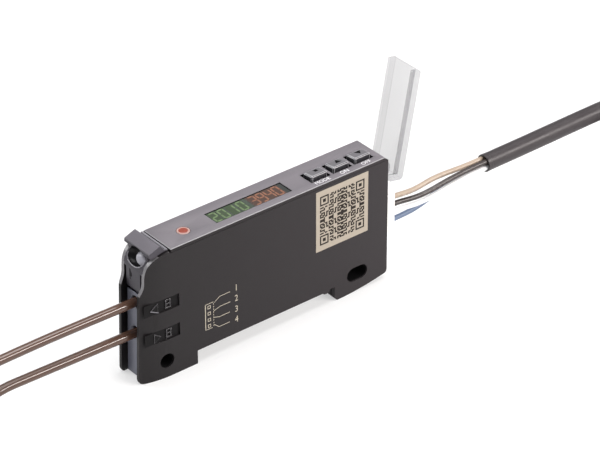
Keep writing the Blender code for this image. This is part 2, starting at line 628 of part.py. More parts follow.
def fibre_route(z, yaw, drops):
    """Out of the block, nearly level, and down towards its hank's top layer."""
    xs = (18.0, 9.0, 1.5, -8.0, -18.0, -26.0, -30.5, FIBRE_HANK_X1 + GAP + 0.2)
    return [(x, FIBRE_Y + max(0.0, 1.5 - x) * yaw, z - drop)
            for x, drop in zip(xs, (0.0,) * 5 + drops)]


tube("fibre_upper", fibre_route(FIBRE_Z[0], 0.018, (0.1, 0.2, 0.38)), FIBRE_D,
     fibre_brown)
tube("fibre_lower", fibre_route(FIBRE_Z[1], 0.026, (0.03, 0.42, 1.5)), FIBRE_D,
     fibre_brown)
hank("fibre_lower_hank", fibre_hank_x0, FIBRE_HANK_X1, FIBRE_HANK_Y, FIBRE_HANK_W,
     *lower_z, fibre_brown)
hank("fibre_upper_hank", fibre_hank_x0, FIBRE_HANK_X1, FIBRE_HANK_Y, FIBRE_HANK_W,
     *upper_z, fibre_brown)
strap("fibre_tie", hank_mid - 1.5, hank_mid + 1.5, FIBRE_HANK_Y, FIBRE_HANK_W,
      lower_z[0], upper_z[1], tie_black)


def head(name, x, y, z):
    """A threaded sensing head with its fibre sleeve, tip towards -X."""
    obj = turned(name, [(x - 13.0, 0.9), (x - 12.6, 1.2), (x - 11.8, 1.2), (x - 11.6, 1.5),
                        (x - 3.2, 1.5), (x - 3.0, 1.9), (x - 0.4, 1.9), (x, 1.6)],
                 y, z, brass, n=20)
    return obj


def nut(name, x, y, z):
    bm = extruded([(x, y + 2.8 * math.cos(math.radians(60 * i)),
                    z + 2.8 * math.sin(math.radians(60 * i))) for i in range(6)],
                  (1.6, 0, 0))
    obj = finish(name, bm, (x, y, z), brass)
    cut(obj, rod(name + "_bore", (x - 1, y, z), (x + 3, y, z), 1.8, n=16))
    return obj


# the lower fibre's end comes away from the side of its hank, and its head lies
# on the floor beside it
side_y = FIBRE_HANK_Y - (FIBRE_HANK_W - FIBRE_D) / 2
head_x = hank_mid - 14.6
nut_low = 2.8 * math.cos(math.radians(30)) + 0.01
away_y = FIBRE_HANK_Y - FIBRE_HANK_W / 2 - 3.5
tube("fibre_lower_end", [(head_x + 7.7, side_y - 2.38, 2.2),
                         (head_x + 4.2, side_y - 3.78, 2.33),
                         (head_x + 0.3, away_y, nut_low)], FIBRE_D, fibre_brown)
head("head_lower", head_x, away_y, nut_low)
nut("nut_lower", head_x - 7.0, away_y, nut_low)
# the upper fibre's head lies on top of the hanks
top = upper_z[1] + GAP
up_y = FIBRE_HANK_Y + 5.0
up_x = hank_mid - 14.7
tube("fibre_upper_end", [(up_x + 5.9, up_y, top + 1.12), (up_x + 3.1, up_y, top + 2.03),
                         (up_x + 0.3, up_y, top + nut_low)], FIBRE_D, fibre_brown)
head("head_upper", up_x, up_y, top + nut_low)
nut("nut_upper", up_x - 7.0, up_y, top + nut_low)

# -------------------------------------------------------------------- cover
def rel(points):
    return [(x + COVER_PIVOT[0], z + COVER_PIVOT[1]) for x, z in points]


cx, cz = COVER_PIVOT
reach, edge, top, back, sheet = (COVER_REACH, COVER_EDGE, COVER_TOP, COVER_BACK,
                                 COVER_SHEET)
# the wide shell: a top, a rear wall and two side plates, drawn shut
shell = [(-reach, edge), (back - sheet, edge), (back - sheet, 2.75), (back, 2.75),
         (back, top - 0.7), (back - 0.2, top - 0.2), (back - 0.7, top),
         (-reach + COVER_CHAMFER, top), (-reach, top - COVER_CHAMFER)]
cover = slab("cover", rel(shell), COVER_Y0, COVER_Y1, clear_plastic,
             at=(cx, BODY_W / 2, cz))
cut(cover, slab("cover_hollow", rel([(-reach - 1, edge - 2), (back - sheet, edge - 2),
                                     (back - sheet, top - sheet),
                                     (-reach - 1, top - sheet)]),
                COVER_Y0 + sheet, COVER_Y1 - sheet))
# two arms with round knuckles join it to its pins
for tag, y0, y1 in (("near", ARM_Y0, ARM_Y0 + sheet), ("far", ARM_Y1 - sheet, ARM_Y1)):
    arm = (arc(0.0, 0.0, 2.4, 55, 350, 20)
           + [(back, 0.7), (back, top - 0.9), (back - sheet - 0.2, top - 0.9),
              (back - sheet - 0.2, 2.3)])
    join(cover, slab("cover_arm_" + tag, rel(arm), y0, y1))
for tag, y0, y1 in (("near", 0.5, ARM_Y0 + 0.4), ("far", ARM_Y1 - 0.4, 8.5)):
    join(cover, rod("cover_pin_" + tag, (cx, y0, cz), (cx, y1, cz), 0.55, n=16))
# the lid turns on its pins: its shape and the shapes that made it swing open
for tool in [m.object for m in cover.modifiers]:
    turn = (Matrix.Translation(place(cx, BODY_W / 2, cz))
            @ Matrix.Rotation(COVER_OPEN, 4, "Y")
            @ Matrix.Translation(-place(cx, BODY_W / 2, cz)))
    tool.matrix_world = turn @ Matrix.Translation(tool.location)
cover.rotation_euler = (0.0, COVER_OPEN, 0.0)
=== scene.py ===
"""Looks of a slim fibre optic sensor amplifier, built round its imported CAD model.

Positions are written in millimetres in the body's own grid, as in the CAD
source: x = 0 is the case's front edge, y = 0 its near side and z = 0 the
underside of its feet.  place() gives metres in the shared frame.
"""

import json
import math

import bmesh
import bpy
from mathutils import Matrix, Vector

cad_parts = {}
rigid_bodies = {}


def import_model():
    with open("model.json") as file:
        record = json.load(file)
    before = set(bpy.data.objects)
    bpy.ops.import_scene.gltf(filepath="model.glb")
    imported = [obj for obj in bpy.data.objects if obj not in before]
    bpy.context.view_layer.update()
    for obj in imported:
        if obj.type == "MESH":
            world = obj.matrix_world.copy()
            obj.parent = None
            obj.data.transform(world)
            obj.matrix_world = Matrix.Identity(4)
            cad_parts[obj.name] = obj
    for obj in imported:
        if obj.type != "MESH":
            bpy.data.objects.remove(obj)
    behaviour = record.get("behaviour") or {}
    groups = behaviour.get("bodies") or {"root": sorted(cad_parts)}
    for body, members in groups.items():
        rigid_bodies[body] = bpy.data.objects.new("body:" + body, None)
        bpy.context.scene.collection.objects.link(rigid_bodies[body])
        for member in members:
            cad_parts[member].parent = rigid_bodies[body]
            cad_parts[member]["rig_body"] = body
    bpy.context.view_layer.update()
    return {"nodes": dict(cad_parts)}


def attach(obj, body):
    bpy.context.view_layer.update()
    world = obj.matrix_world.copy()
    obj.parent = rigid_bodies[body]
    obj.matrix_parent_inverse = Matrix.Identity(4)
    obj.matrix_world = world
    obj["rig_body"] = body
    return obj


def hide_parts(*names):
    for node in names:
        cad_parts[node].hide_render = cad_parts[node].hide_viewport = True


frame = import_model()
NODES = frame["nodes"]
scene = bpy.context.scene

MM = 0.001
ORIGIN_X, ORIGIN_Y = 35.96788793, 4.5


def place(x, y, z):
    return Vector(((x - ORIGIN_X) * MM, (y - ORIGIN_Y) * MM, z * MM))


def lin(r, g, b):
    """A colour written in ordinary 0 to 255 steps, as the shader wants it."""
    out = []
    for c in (r, g, b):
        c /= 255.0
        out.append(c / 12.92 if c <= 0.04045 else ((c + 0.055) / 1.055) ** 2.4)
    return (*out, 1.0)


# -------------------------------------------------------------------- camera
A, E, ROLL = math.radians(-38.815), math.radians(32.578), math.radians(-0.122)
back = Vector((math.sin(A) * math.cos(E), -math.cos(A) * math.cos(E), math.sin(E)))
right = Vector((math.cos(A), math.sin(A), 0.0))
up = back.cross(right)
right2 = right * math.cos(ROLL) + up * math.sin(ROLL)
up2 = -right * math.sin(ROLL) + up * math.cos(ROLL)
cam_data = bpy.data.cameras.new("camera")
cam_data.sensor_fit = "HORIZONTAL"
cam_data.sensor_width = 36.0
cam_data.lens = 3046.965 / 600.0 * 36.0
cam_data.clip_start, cam_data.clip_end = 0.01, 20.0
camera = bpy.data.objects.new("camera", cam_data)
scene.collection.objects.link(camera)
turn = Matrix((right2, up2, back)).transposed().to_4x4()
camera.matrix_world = Matrix.Translation(place(-282.052, -400.268, 350.465)) @ turn
scene.camera = camera


# ----------------------------------------------------------------- materials
def shader_of(name):
    mat = bpy.data.materials.new(name)
    mat.use_nodes = True
    return mat, mat.node_tree, mat.node_tree.nodes["Principled BSDF"]


def noise(tree, scale, detail=3.0, rough=0.5, coords=None, distortion=0.0):
    node = tree.nodes.new("ShaderNodeTexNoise")
    node.inputs["Scale"].default_value = scale
    node.inputs["Detail"].default_value = detail
    node.inputs["Roughness"].default_value = rough
    node.inputs["Distortion"].default_value = distortion
    if coords is not None:
        tree.links.new(coords, node.inputs["Vector"])
    return node.outputs["Fac"]


def spread(tree, value, lo, hi, a=0.3, b=0.7):
    node = tree.nodes.new("ShaderNodeMapRange")
    node.inputs["From Min"].default_value = a
    node.inputs["From Max"].default_value = b
    node.inputs["To Min"].default_value = lo
    node.inputs["To Max"].default_value = hi
    tree.links.new(value, node.inputs["Value"])
    return node.outputs["Result"]


def mixed(tree, factor, one, two, blend="MIX"):
    node = tree.nodes.new("ShaderNodeMix")
    node.data_type = "RGBA"
    node.blend_type = blend
    tree.links.new(factor, node.inputs["Factor"])
    for key, value in (("A", one), ("B", two)):
        socket = [s for s in node.inputs if s.name == key and s.type == "RGBA"][0]
        if hasattr(value, "is_linked"):
            tree.links.new(value, socket)
        else:
            socket.default_value = value
    return [s for s in node.outputs if s.type == "RGBA"][0]


def object_coords(tree, stretch=(1.0, 1.0, 1.0)):
    coords = tree.nodes.new("ShaderNodeTexCoord").outputs["Object"]
    if stretch == (1.0, 1.0, 1.0):
        return coords
    mapping = tree.nodes.new("ShaderNodeMapping")
    mapping.inputs["Scale"].default_value = stretch
    tree.links.new(coords, mapping.inputs["Vector"])
    return mapping.outputs["Vector"]


def surface(name, colour, rough=0.5, vary=0.1, patch=260.0, grain=5200.0, bump=0.25,
            depth=0.02, metallic=0.0, coat=0.0, specular=0.5, stretch=(1.0, 1.0, 1.0),
            rough_vary=0.06, ends=None):
    """Moulded plastic or metal: slow colour drift, fine grain, uneven gloss.  ends
    gives tone factors for the front and the rear of the case, a ramp along x:
    painted shade at the front, painted light at the rear."""
    mat, tree, shader = shader_of(name)
    coords = object_coords(tree, stretch)
    slow = noise(tree, patch, 4.0, 0.55, coords)
    fine = noise(tree, grain, 3.0, 0.6, coords)
    dark = tuple(c * (1.0 - vary) for c in colour[:3]) + (1.0,)
    light = tuple(min(1.0, c * (1.0 + vary)) for c in colour[:3]) + (1.0,)
    drift = mixed(tree, spread(tree, slow, 0.0, 1.0), dark, light)
    speck = mixed(tree, spread(tree, fine, 0.0, 1.0), dark, light)
    half = tree.nodes.new("ShaderNodeMix")
    half.data_type = "RGBA"
    half.inputs["Factor"].default_value = 0.4
    a, b = [s for s in half.inputs if s.type == "RGBA"]
    tree.links.new(drift, a)
    tree.links.new(speck, b)
    tone = [s for s in half.outputs if s.type == "RGBA"][0]
    # painted shade towards the front and painted light towards the rear: the tone is
    # multiplied by a ramp along x
    if ends:
        parts = tree.nodes.new("ShaderNodeSeparateXYZ")
        tree.links.new(coords, parts.inputs["Vector"])
        along = spread(tree, parts.outputs["X"], 0.0, 1.0, -0.036, 0.026)
        shade = mixed(tree, along, (ends[0],) * 3 + (1.0,), (ends[1],) * 3 + (1.0,))
        full = tree.nodes.new("ShaderNodeValue")
        full.outputs[0].default_value = 1.0
        tone = mixed(tree, full.outputs[0], tone, shade, "MULTIPLY")
    tree.links.new(tone, shader.inputs["Base Color"])
    tree.links.new(spread(tree, slow, rough - rough_vary, rough + rough_vary),
                   shader.inputs["Roughness"])
    knobs = tree.nodes.new("ShaderNodeBump")
    knobs.inputs["Strength"].default_value = bump
    knobs.inputs["Distance"].default_value = depth * MM
    tree.links.new(fine, knobs.inputs["Height"])
    tree.links.new(knobs.outputs["Normal"], shader.inputs["Normal"])
    shader.inputs["Metallic"].default_value = metallic
    shader.inputs["Specular IOR Level"].default_value = specular
    shader.inputs["Coat Weight"].default_value = coat
    shader.inputs["Coat Roughness"].default_value = 0.2
    mat.diffuse_color = colour
    return mat


def glowing(name, colour, strength, vary=0.15):
    """A lit segment or indicator, a little uneven."""
    mat, tree, shader = shader_of(name)
    value = noise(tree, 1800.0, 2.0, 0.5, object_coords(tree))
    low = tuple(c * (1.0 - vary) for c in colour[:3]) + (1.0,)
    tint = mixed(tree, spread(tree, value, 0.0, 1.0), low, colour)
    shader.inputs["Base Color"].default_value = (0.004, 0.004, 0.004, 1.0)
    tree.links.new(tint, shader.inputs["Emission Color"])
    shader.inputs["Emission Strength"].default_value = strength
    shader.inputs["Roughness"].default_value = 0.35
    return mat


def see_through(name, tint, cover, rough=0.12, haze=0.04):
    """Clear moulded sheet: each surface veils a little of what is behind it."""
    mat, tree, shader = shader_of(name)
    coords = object_coords(tree)
    slow = noise(tree, 160.0, 3.0, 0.5, coords)
    low = tuple(c * (1.0 - haze) for c in tint[:3]) + (1.0,)
    tree.links.new(mixed(tree, spread(tree, slow, 0.0, 1.0), low, tint),
                   shader.inputs["Base Color"])
    tree.links.new(spread(tree, slow, rough * 0.6, rough * 1.5), shader.inputs["Roughness"])
    shader.inputs["Alpha"].default_value = cover
    shader.inputs["IOR"].default_value = 1.49
    return mat


# the case's tone runs from 0.45 at the front to 1.12 at the rear: painted shade at the front,
# painted light at the rear
case_mat = surface("case_plastic_painted_light_and_shade", lin(42, 38, 40), 0.52, 0.1, 120.0, 4200.0, 0.35, 0.03,
                   specular=0.24, ends=(0.45, 1.12))
# painted highlight: a paler, glossier copy of the case plastic for the lit front shoulders of
# the walls
shoulder_highlight_mat = surface("case_shoulder_painted_highlight", lin(116, 114, 117), 0.34, 0.1, 300.0, 4200.0,
                       0.05, 0.02, specular=0.5)
# painted highlight: the rounded edges of the case walls and of the field marks in a paler
# tone
edge_highlight_mat = surface("case_edge_painted_highlight", lin(92, 90, 93), 0.3, 0.1, 300.0, 4200.0, 0.15, 0.02)
# painted shade: a near-black copy of the case plastic for the floors of the recessed fields
# and the marks in them
recess_shade_mat = surface("case_recess_painted_shade", lin(20, 19, 20), 0.7, 0.12, 300.0, 4200.0, 0.25,
                   specular=0.12)
block_mat = surface("block_plastic", lin(102, 104, 116), 0.42, 0.08, 200.0, 4600.0, 0.25,
                    specular=0.4)
panel_mat = surface("panel_plastic", lin(103, 99, 104), 0.62, 0.06, 140.0, 5000.0, 0.3,
                    0.03, specular=0.4)
# painted highlight: the panel's broken edge in a paler tone
panel_edge_highlight_mat = surface("panel_edge_painted_highlight", lin(136, 135, 138), 0.42, 0.06, 200.0, 5000.0, 0.15)
lever_mat = surface("lever_plastic", lin(58, 55, 62), 0.4, 0.08, 200.0, 4200.0, 0.15,
                    specular=0.3)
# painted light: a paler copy of the lever plastic for the up-facing top of the grip
tab_lit_mat = surface("lever_tab_painted_light", lin(90, 87, 93), 0.4, 0.08, 200.0, 4200.0, 0.15,
                  specular=0.4)
# painted highlight: the lever's rounded edges and the rim of its hollow in a pale tone
lever_edge_highlight_mat = surface("lever_edge_painted_highlight", lin(128, 126, 132), 0.26, 0.08, 200.0, 4200.0, 0.1)
# painted highlight: the pale tone of the pad in the lever's hollow
pad_highlight_mat = surface("lever_pad_painted_highlight", lin(150, 149, 158), 0.5, 0.06, 300.0, 4200.0, 0.04,
                  coat=0.3)
# painted shade: a near-black copy of the lever plastic for the inside of the finger hollow
hollow_shade_mat = surface("lever_hollow", lin(20, 19, 22), 0.3, 0.1, 300.0, 4200.0, 0.1,
                   specular=0.25)
# painted highlight: a light grey for the lit rear rim of the lever's grip and the lower edge
# of the field arrows
rim_highlight_mat = surface("rim_painted_highlight", lin(112, 110, 116), 0.4, 0.06, 300.0, 4200.0, 0.1)
key_mat = surface("key_plastic", lin(46, 45, 49), 0.28, 0.08, 400.0, 4800.0, 0.02)
# painted light and painted highlight: the keys' top faces paler, their rounded edges paler
# still
key_top_lit_mat = surface("key_top_painted_light", lin(92, 90, 94), 0.42, 0.06, 400.0, 4800.0, 0.06)
key_edge_highlight_mat = surface("key_edge_painted_highlight", lin(144, 143, 147), 0.3, 0.06, 400.0, 1200.0, 0.0)
print_white = surface("print_white", lin(216, 216, 218), 0.5, 0.08, 900.0, 9000.0, 0.1)
print_beige = surface("print_beige", lin(172, 164, 148), 0.55, 0.1, 900.0, 9000.0, 0.1)
label_mat = surface("label_beige", lin(160, 150, 136), 0.5, 0.06, 700.0, 8000.0, 0.12)
mark_black = surface("mark_black", lin(12, 12, 13), 0.75, 0.15, 900.0, 8000.0, 0.1,
                     specular=0.08)
module_mat = surface("pattern_dark", lin(38, 33, 30), 0.6, 0.1, 900.0, 8000.0, 0.1,
                     specular=0.15)
# near black: the display module's own colour, and painted shade inside the fixing holes, the
# panel's holes and the sheath's mouth
black_and_shade_mat = surface("inside_black_and_painted_shade", lin(14, 14, 15), 0.75, 0.15, 300.0, 3000.0, 0.2,
                     specular=0.06)
white_mat = surface("connector_white", lin(244, 243, 241), 0.38, 0.03, 200.0, 4000.0, 0.12)
cream_mat = surface("header_cream", lin(206, 198, 182), 0.42, 0.05, 240.0, 4000.0, 0.15)
board_mat = surface("board_green", lin(22, 66, 40), 0.35, 0.2, 1500.0, 6000.0, 0.15, coat=0.4)
chip_mat = surface("chip_black", lin(24, 24, 25), 0.5, 0.15, 500.0, 9000.0, 0.3)
opto_mat = surface("opto_resin", lin(22, 22, 26), 0.22, 0.15, 400.0, 3000.0, 0.05, coat=0.3)
steel_mat = surface("spring_steel", lin(176, 176, 178), 0.3, 0.06, 200.0, 7000.0, 0.15,
                    metallic=1.0, stretch=(0.06, 1.0, 1.0))
plated_mat = surface("plated_brass", lin(196, 190, 176), 0.26, 0.06, 400.0, 7000.0, 0.15,
                     metallic=1.0, stretch=(1.0, 0.15, 0.15))
brown_mat = surface("wire_brown", lin(158, 142, 126), 0.3, 0.08, 500.0, 5000.0, 0.12)
black_mat = surface("wire_black", lin(53, 46, 45), 0.28, 0.1, 500.0, 5000.0, 0.12)
wire_white_mat = surface("wire_white", lin(238, 238, 240), 0.4, 0.03, 500.0, 5000.0, 0.1)
blue_mat = surface("wire_blue", lin(90, 105, 130), 0.36, 0.1, 500.0, 5000.0, 0.12)
sheath_mat = surface("sheath_grey", lin(50, 45, 47), 0.42, 0.1, 300.0, 3600.0, 0.2, 0.03,
                     specular=0.4)
fibre_mat = surface("fibre_jacket", lin(80, 59, 49), 0.12, 0.1, 300.0, 2600.0, 0.0,
                    specular=0.55, rough_vary=0.02)
tie_mat = surface("tie_nylon", lin(38, 38, 40), 0.45, 0.12, 500.0, 4000.0, 0.2)
cover_mat = see_through("clear_acrylic", lin(128, 126, 131), 0.27)
# painted shade: darker, denser tints for the clear cover's rounded edges and for its faces
# that face up, down or sideways
cover_edge_shade_mat = see_through("clear_edge_painted_shade", lin(84, 83, 88), 0.43)
cover_end_shade_mat = see_through("clear_end_painted_shade", lin(100, 98, 104), 0.3)
lens_mat = surface("display_filter", lin(34, 38, 36), 0.2, 0.15, 500.0, 4000.0, 0.04,
                   coat=0.4)
green_dim = surface("display_green_side", lin(50, 60, 50), 0.22, 0.1, 900.0, 6000.0, 0.04,
                    coat=0.4)
orange_dim = surface("display_orange_side", lin(62, 50, 44), 0.22, 0.1, 900.0, 6000.0,
                     0.04, coat=0.4)
green_glow = glowing("segment_green", lin(136, 162, 114), 0.85)
orange_glow = glowing("segment_orange", lin(178, 120, 92), 0.85)
green_halo = glowing("segment_green_halo", lin(66, 86, 54), 0.85)
orange_halo = glowing("segment_orange_halo", lin(92, 64, 52), 0.85)
lamp_glow = glowing("indicator_orange", lin(196, 84, 60), 0.8, 0.25)
ring_mat = surface("indicator_ring", lin(158, 128, 122), 0.5, 0.06, 500.0, 5000.0, 0.1)


# ------------------------------------------------------------------- helpers
def body_of(node):
    return NODES[node]["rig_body"]


def add(name, mesh, mats, body, smooth=35.0):
    obj = bpy.data.objects.new(name, mesh)
    scene.collection.objects.link(obj)
    for mat in mats:
        mesh.materials.append(mat)
    if smooth:
        mesh.shade_smooth()
        mesh.set_sharp_from_angle(angle=math.radians(smooth))
    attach(obj, body)
    return obj


def from_bm(name, bm, mats, body, smooth=35.0):
    """A bmesh in body millimetres as a piece that rides on a body."""
    bmesh.ops.recalc_face_normals(bm, faces=bm.faces)
    for v in bm.verts:
        v.co = place(*v.co)
    mesh = bpy.data.meshes.new(name)
    bm.to_mesh(mesh)
    bm.free()
    return add(name, mesh, mats, body, smooth)


def bevelled(obj, width, segments=2, angle=32.0, edge_slot=None):
    mod = obj.modifiers.new("rounded_edges", "BEVEL")
    mod.width = width * MM
    mod.segments = segments
    mod.limit_method = "ANGLE"
    mod.angle_limit = math.radians(angle)
    mod.harden_normals = True
    mod.use_clamp_overlap = True
    mod.miter_outer = "MITER_ARC"
    if edge_slot is not None:
        mod.material = edge_slot
    return obj


def refined(node, mat, width=0.12, segments=2, angle=32.0, edge=None, name=None,
            smooth=35.0, share=None, other=None, where=None):
    """The CAD node's own shape with rounded, smoothly shaded edges.  share gives
    an edge its part of the width from its middle, in body millimetres; where
    tells from a face's middle and normal whether it takes other, a second
    material that paints light or shade on those faces.  edge colours the
    rounded edges with a painted highlight or painted shade."""
    bm = bmesh.new()
    bm.from_mesh(NODES[node].data)
    bmesh.ops.remove_doubles(bm, verts=bm.verts, dist=2e-6)
    bmesh.ops.dissolve_limit(bm, angle_limit=math.radians(0.6), verts=bm.verts,
                             edges=bm.edges, use_dissolve_boundaries=False)
    weights = []
    if share:
        for e in bm.edges:
            m = (e.verts[0].co + e.verts[1].co) / 2
            sharp = len(e.link_faces) == 2 and e.calc_face_angle(0.0) > math.radians(angle)
            weights.append(share(m.x / MM + ORIGIN_X, m.y / MM + ORIGIN_Y, m.z / MM)
                           if sharp else 0.0)
    if where:
        bm.normal_update()
        for f in bm.faces:
            c = f.calc_center_median()
            if where((c.x / MM + ORIGIN_X, c.y / MM + ORIGIN_Y, c.z / MM), f.normal):
                f.material_index = 2
    name = name or node + "_skin"
    mesh = bpy.data.meshes.new(name)
    bm.to_mesh(mesh)
    bm.free()
    if share:
        layer = mesh.attributes.new("bevel_weight_edge", "FLOAT", "EDGE")
        layer.data.foreach_set("value", weights)
    obj = add(name, mesh, [mat] + ([edge] if edge else []) + ([other] if other else []),
              body_of(node), smooth)
    for poly in mesh.polygons:
        if max(abs(c) for c in poly.normal) > 0.99999:
            poly.use_smooth = False
    if width:
        bevelled(obj, width, segments, angle, 1 if edge else None)
        if share:
            obj.modifiers["rounded_edges"].limit_method = "WEIGHT"
    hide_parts(node)
    return obj


def paint(node, mat):
    """A CAD node that is shown as it is, with its own finish."""
    mesh = NODES[node].data
    mesh.materials.clear()
    mesh.materials.append(mat)


def arc(cx, cy, radius, a0, a1, n):
    return [(cx + radius * math.cos(math.radians(a0 + (a1 - a0) * i / n)),
             cy + radius * math.sin(math.radians(a0 + (a1 - a0) * i / n)))
            for i in range(n + 1)]


def prism(bm, outline, vector):
    face = bm.faces.new([bm.verts.new(p) for p in outline])
    new = bmesh.ops.extrude_face_region(bm, geom=[face])["geom"]
    bmesh.ops.translate(bm, vec=Vector(vector),
                        verts=[v for v in new if isinstance(v, bmesh.types.BMVert)])


def on_side(bm, outlines, y0, y1):
    """Outlines in x and z, as thin solids on the case's near side."""
    for outline in outlines:
        prism(bm, [(x, y0, z) for x, z in outline], (0.0, y1 - y0, 0.0))


def on_top(bm, outlines, z0, z1):
    for outline in outlines:
        prism(bm, [(x, y, z0) for x, y in outline], (0.0, 0.0, z1 - z0))


def rect(x0, x1, y0, y1):
    return [(x0, y0), (x1, y0), (x1, y1), (x0, y1)]


def frame_of(x0, x1, y0, y1, t):
    """Four bars that make a rectangular outline of thickness t."""
    return [rect(x0, x1, y0, y0 + t), rect(x0, x1, y1 - t, y1),
            rect(x0, x0 + t, y0 + t, y1 - t), rect(x1 - t, x1, y0 + t, y1 - t)]


def bar(a, b, t):
    """A straight printed line between two points."""
    a, b = Vector(a), Vector(b)
    n = (b - a).orthogonal().normalized() * (t / 2)
    return [tuple(a - n), tuple(b - n), tuple(b + n), tuple(a + n)]


def lettering(name, words, mat, body, plane, thick=0.03):
    """Plain numbers or words from Blender's own font, as thin solids.
    Each word is (text, x, other, height, along, width)."""
    bm = bmesh.new()
    for text, x, v, height, squeeze in words:
        curve = bpy.data.curves.new(name + "_font", "FONT")
        curve.body = text
        curve.size = 1.0
        curve.extrude = 0.0
        curve.resolution_u = 4
        holder = bpy.data.objects.new(name + "_font", curve)
        scene.collection.objects.link(holder)
        bpy.context.view_layer.update()
        mesh = bpy.data.meshes.new_from_object(
            holder.evaluated_get(bpy.context.evaluated_depsgraph_get()))
        part = bmesh.new()
        part.from_mesh(mesh)
        bmesh.ops.remove_doubles(part, verts=part.verts, dist=1e-5)
        k = height / 0.69
        for vert in part.verts:
            vert.co = Vector((vert.co.x * k * squeeze, vert.co.y * k, 0.0))
        new = bmesh.ops.extrude_face_region(part, geom=list(part.faces))["geom"]
        bmesh.ops.translate(part, vec=(0, 0, thick),
                            verts=[e for e in new if isinstance(e, bmesh.types.BMVert)])
        for vert in part.verts:
            c = vert.co.copy()
            if plane == "side":
                vert.co = Vector((x + c.x, 0.01 - c.z, v + c.y))
            else:
                vert.co = Vector((x + c.x, v + c.y, plane + c.z))
        temp = bpy.data.meshes.new("part")
        part.to_mesh(temp)
        part.free()
        bm.from_mesh(temp)
        bpy.data.meshes.remove(temp)
        bpy.data.objects.remove(holder)
        bpy.data.curves.remove(curve)
        bpy.data.meshes.remove(mesh)
    return from_bm(name, bm, [mat], body, 0.0)


def combined(base, steps):
    """A solid joined with or cut by others, all in body millimetres."""
    def holder(bm):
        bmesh.ops.recalc_face_normals(bm, faces=bm.faces)
        mesh = bpy.data.meshes.new("step")
        bm.to_mesh(mesh)
        bm.free()
        obj = bpy.data.objects.new("step", mesh)
        scene.collection.objects.link(obj)
        return obj

    obj = holder(base)
    tools = []
    for tool, operation in steps:
        other = holder(tool)
        mod = obj.modifiers.new("step", "BOOLEAN")
        mod.object, mod.operation, mod.solver = other, operation, "EXACT"
        tools.append(other)
    bpy.context.view_layer.update()
    mesh = bpy.data.meshes.new_from_object(
        obj.evaluated_get(bpy.context.evaluated_depsgraph_get()))
    out = bmesh.new()
    out.from_mesh(mesh)
    bpy.data.meshes.remove(mesh)
    for used in [obj] + tools:
        data = used.data
        bpy.data.objects.remove(used)
        bpy.data.meshes.remove(data)
    bmesh.ops.remove_doubles(out, verts=out.verts, dist=1e-4)
    return out


def block(x0, x1, y0, y1, z0, z1):
    bm = bmesh.new()
    prism(bm, [(x0, y0, z0), (x1, y0, z0), (x1, y1, z0), (x0, y1, z0)], (0, 0, z1 - z0))
    return bm


def ball(centre, radii, rings=28):
    bm = bmesh.new()
    bmesh.ops.create_uvsphere(bm, u_segments=2 * rings, v_segments=rings, radius=1.0)
    for v in bm.verts:
        v.co = Vector([c + r * k for c, r, k in zip(centre, radii, v.co)])
    return bm


def barrel(a, b, radius, n=32):
    a, b = Vector(a), Vector(b)
    bm = bmesh.new()
    bmesh.ops.create_cone(bm, cap_ends=True, segments=n, radius1=radius, radius2=radius,
                          depth=(b - a).length,
                          matrix=Matrix.Translation((a + b) / 2)
                          @ (b - a).to_track_quat("Z", "Y").to_matrix().to_4x4())
    return bm


# --------------------------------------------------------------------- cords
def ease(x, a, b):
    u = min(1.0, max(0.0, (x - a) / (b - a)))
    return u * u * (3 - 2 * u)


def line_of(points):
    return sum((Vector(b) - Vector(a)).length for a, b in zip(points, points[1:]))


def even(points, step):
    """The same line with points an even step apart."""
    pts = [Vector(points[0])]
    for p in points[1:]:
        if (Vector(p) - pts[-1]).length > 1e-6:
            pts.append(Vector(p))
    total = line_of(pts)
    count = max(4, round(total / step))
    out, done, i, want = [pts[0].copy()], 0.0, 0, total / count
    target = want
    for a, b in zip(pts, pts[1:]):
        seg = (b - a).length
        while target <= done + seg + 1e-9 and len(out) < count:
            out.append(a + (b - a) * ((target - done) / seg))
            target += want
        done += seg
    out.append(pts[-1].copy())
    return out


def softened(points, rounds):
    """Corners of a dense line eased, its two ends kept."""
    pts = [Vector(p) for p in points]
    for _ in range(rounds):
        pts = ([pts[0]] + [(pts[i - 1] + pts[i] * 2 + pts[i + 1]) / 4
                           for i in range(1, len(pts) - 1)] + [pts[-1]])
    return pts


def cord_curve(name, points, diameter, mat, body, sides=5):
    curve = bpy.data.curves.new(name, "CURVE")
    curve.dimensions = "3D"
    curve.bevel_depth = diameter / 2 * MM
    curve.bevel_resolution = sides
    curve.use_fill_caps = True
    spline = curve.splines.new("POLY")
    spline.points.add(len(points) - 1)
    for p, q in zip(spline.points, points):
        p.co = (*place(*q), 1.0)
    spline.use_smooth = True
    curve.materials.append(mat)
    obj = bpy.data.objects.new(name, curve)
    scene.collection.objects.link(obj)
    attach(obj, body)
    return obj


def run(x0, x1, y0, y1, z0, z1, side=(0.0, 1.0), drop=None, n=40):
    """A straight run whose offset and height change inside their windows."""
    drop = drop or side
    out = []
    for i in range(n + 1):
        t = i / n
        out.append((x0 + (x1 - x0) * t, y0 + (y1 - y0) * ease(t, *side),
                    z0 + (z1 - z0) * ease(t, *drop)))
    return out


def half_turn(cx, cy, r, z, start, bulge, n=28):
    """Half a turn round a hank's end, from one side of it to the other."""
    return [(cx + bulge * r * math.sin(math.pi * i / n),
             cy + start * r * math.cos(math.pi * i / n), z) for i in range(n + 1)]


SHEATH_D, WIRE_D, FIBRE_D = 3.9, 1.15, 2.0
SHEATH_X0, SHEATH_Y, SHEATH_Z = 93.6, 4.3, 14.1

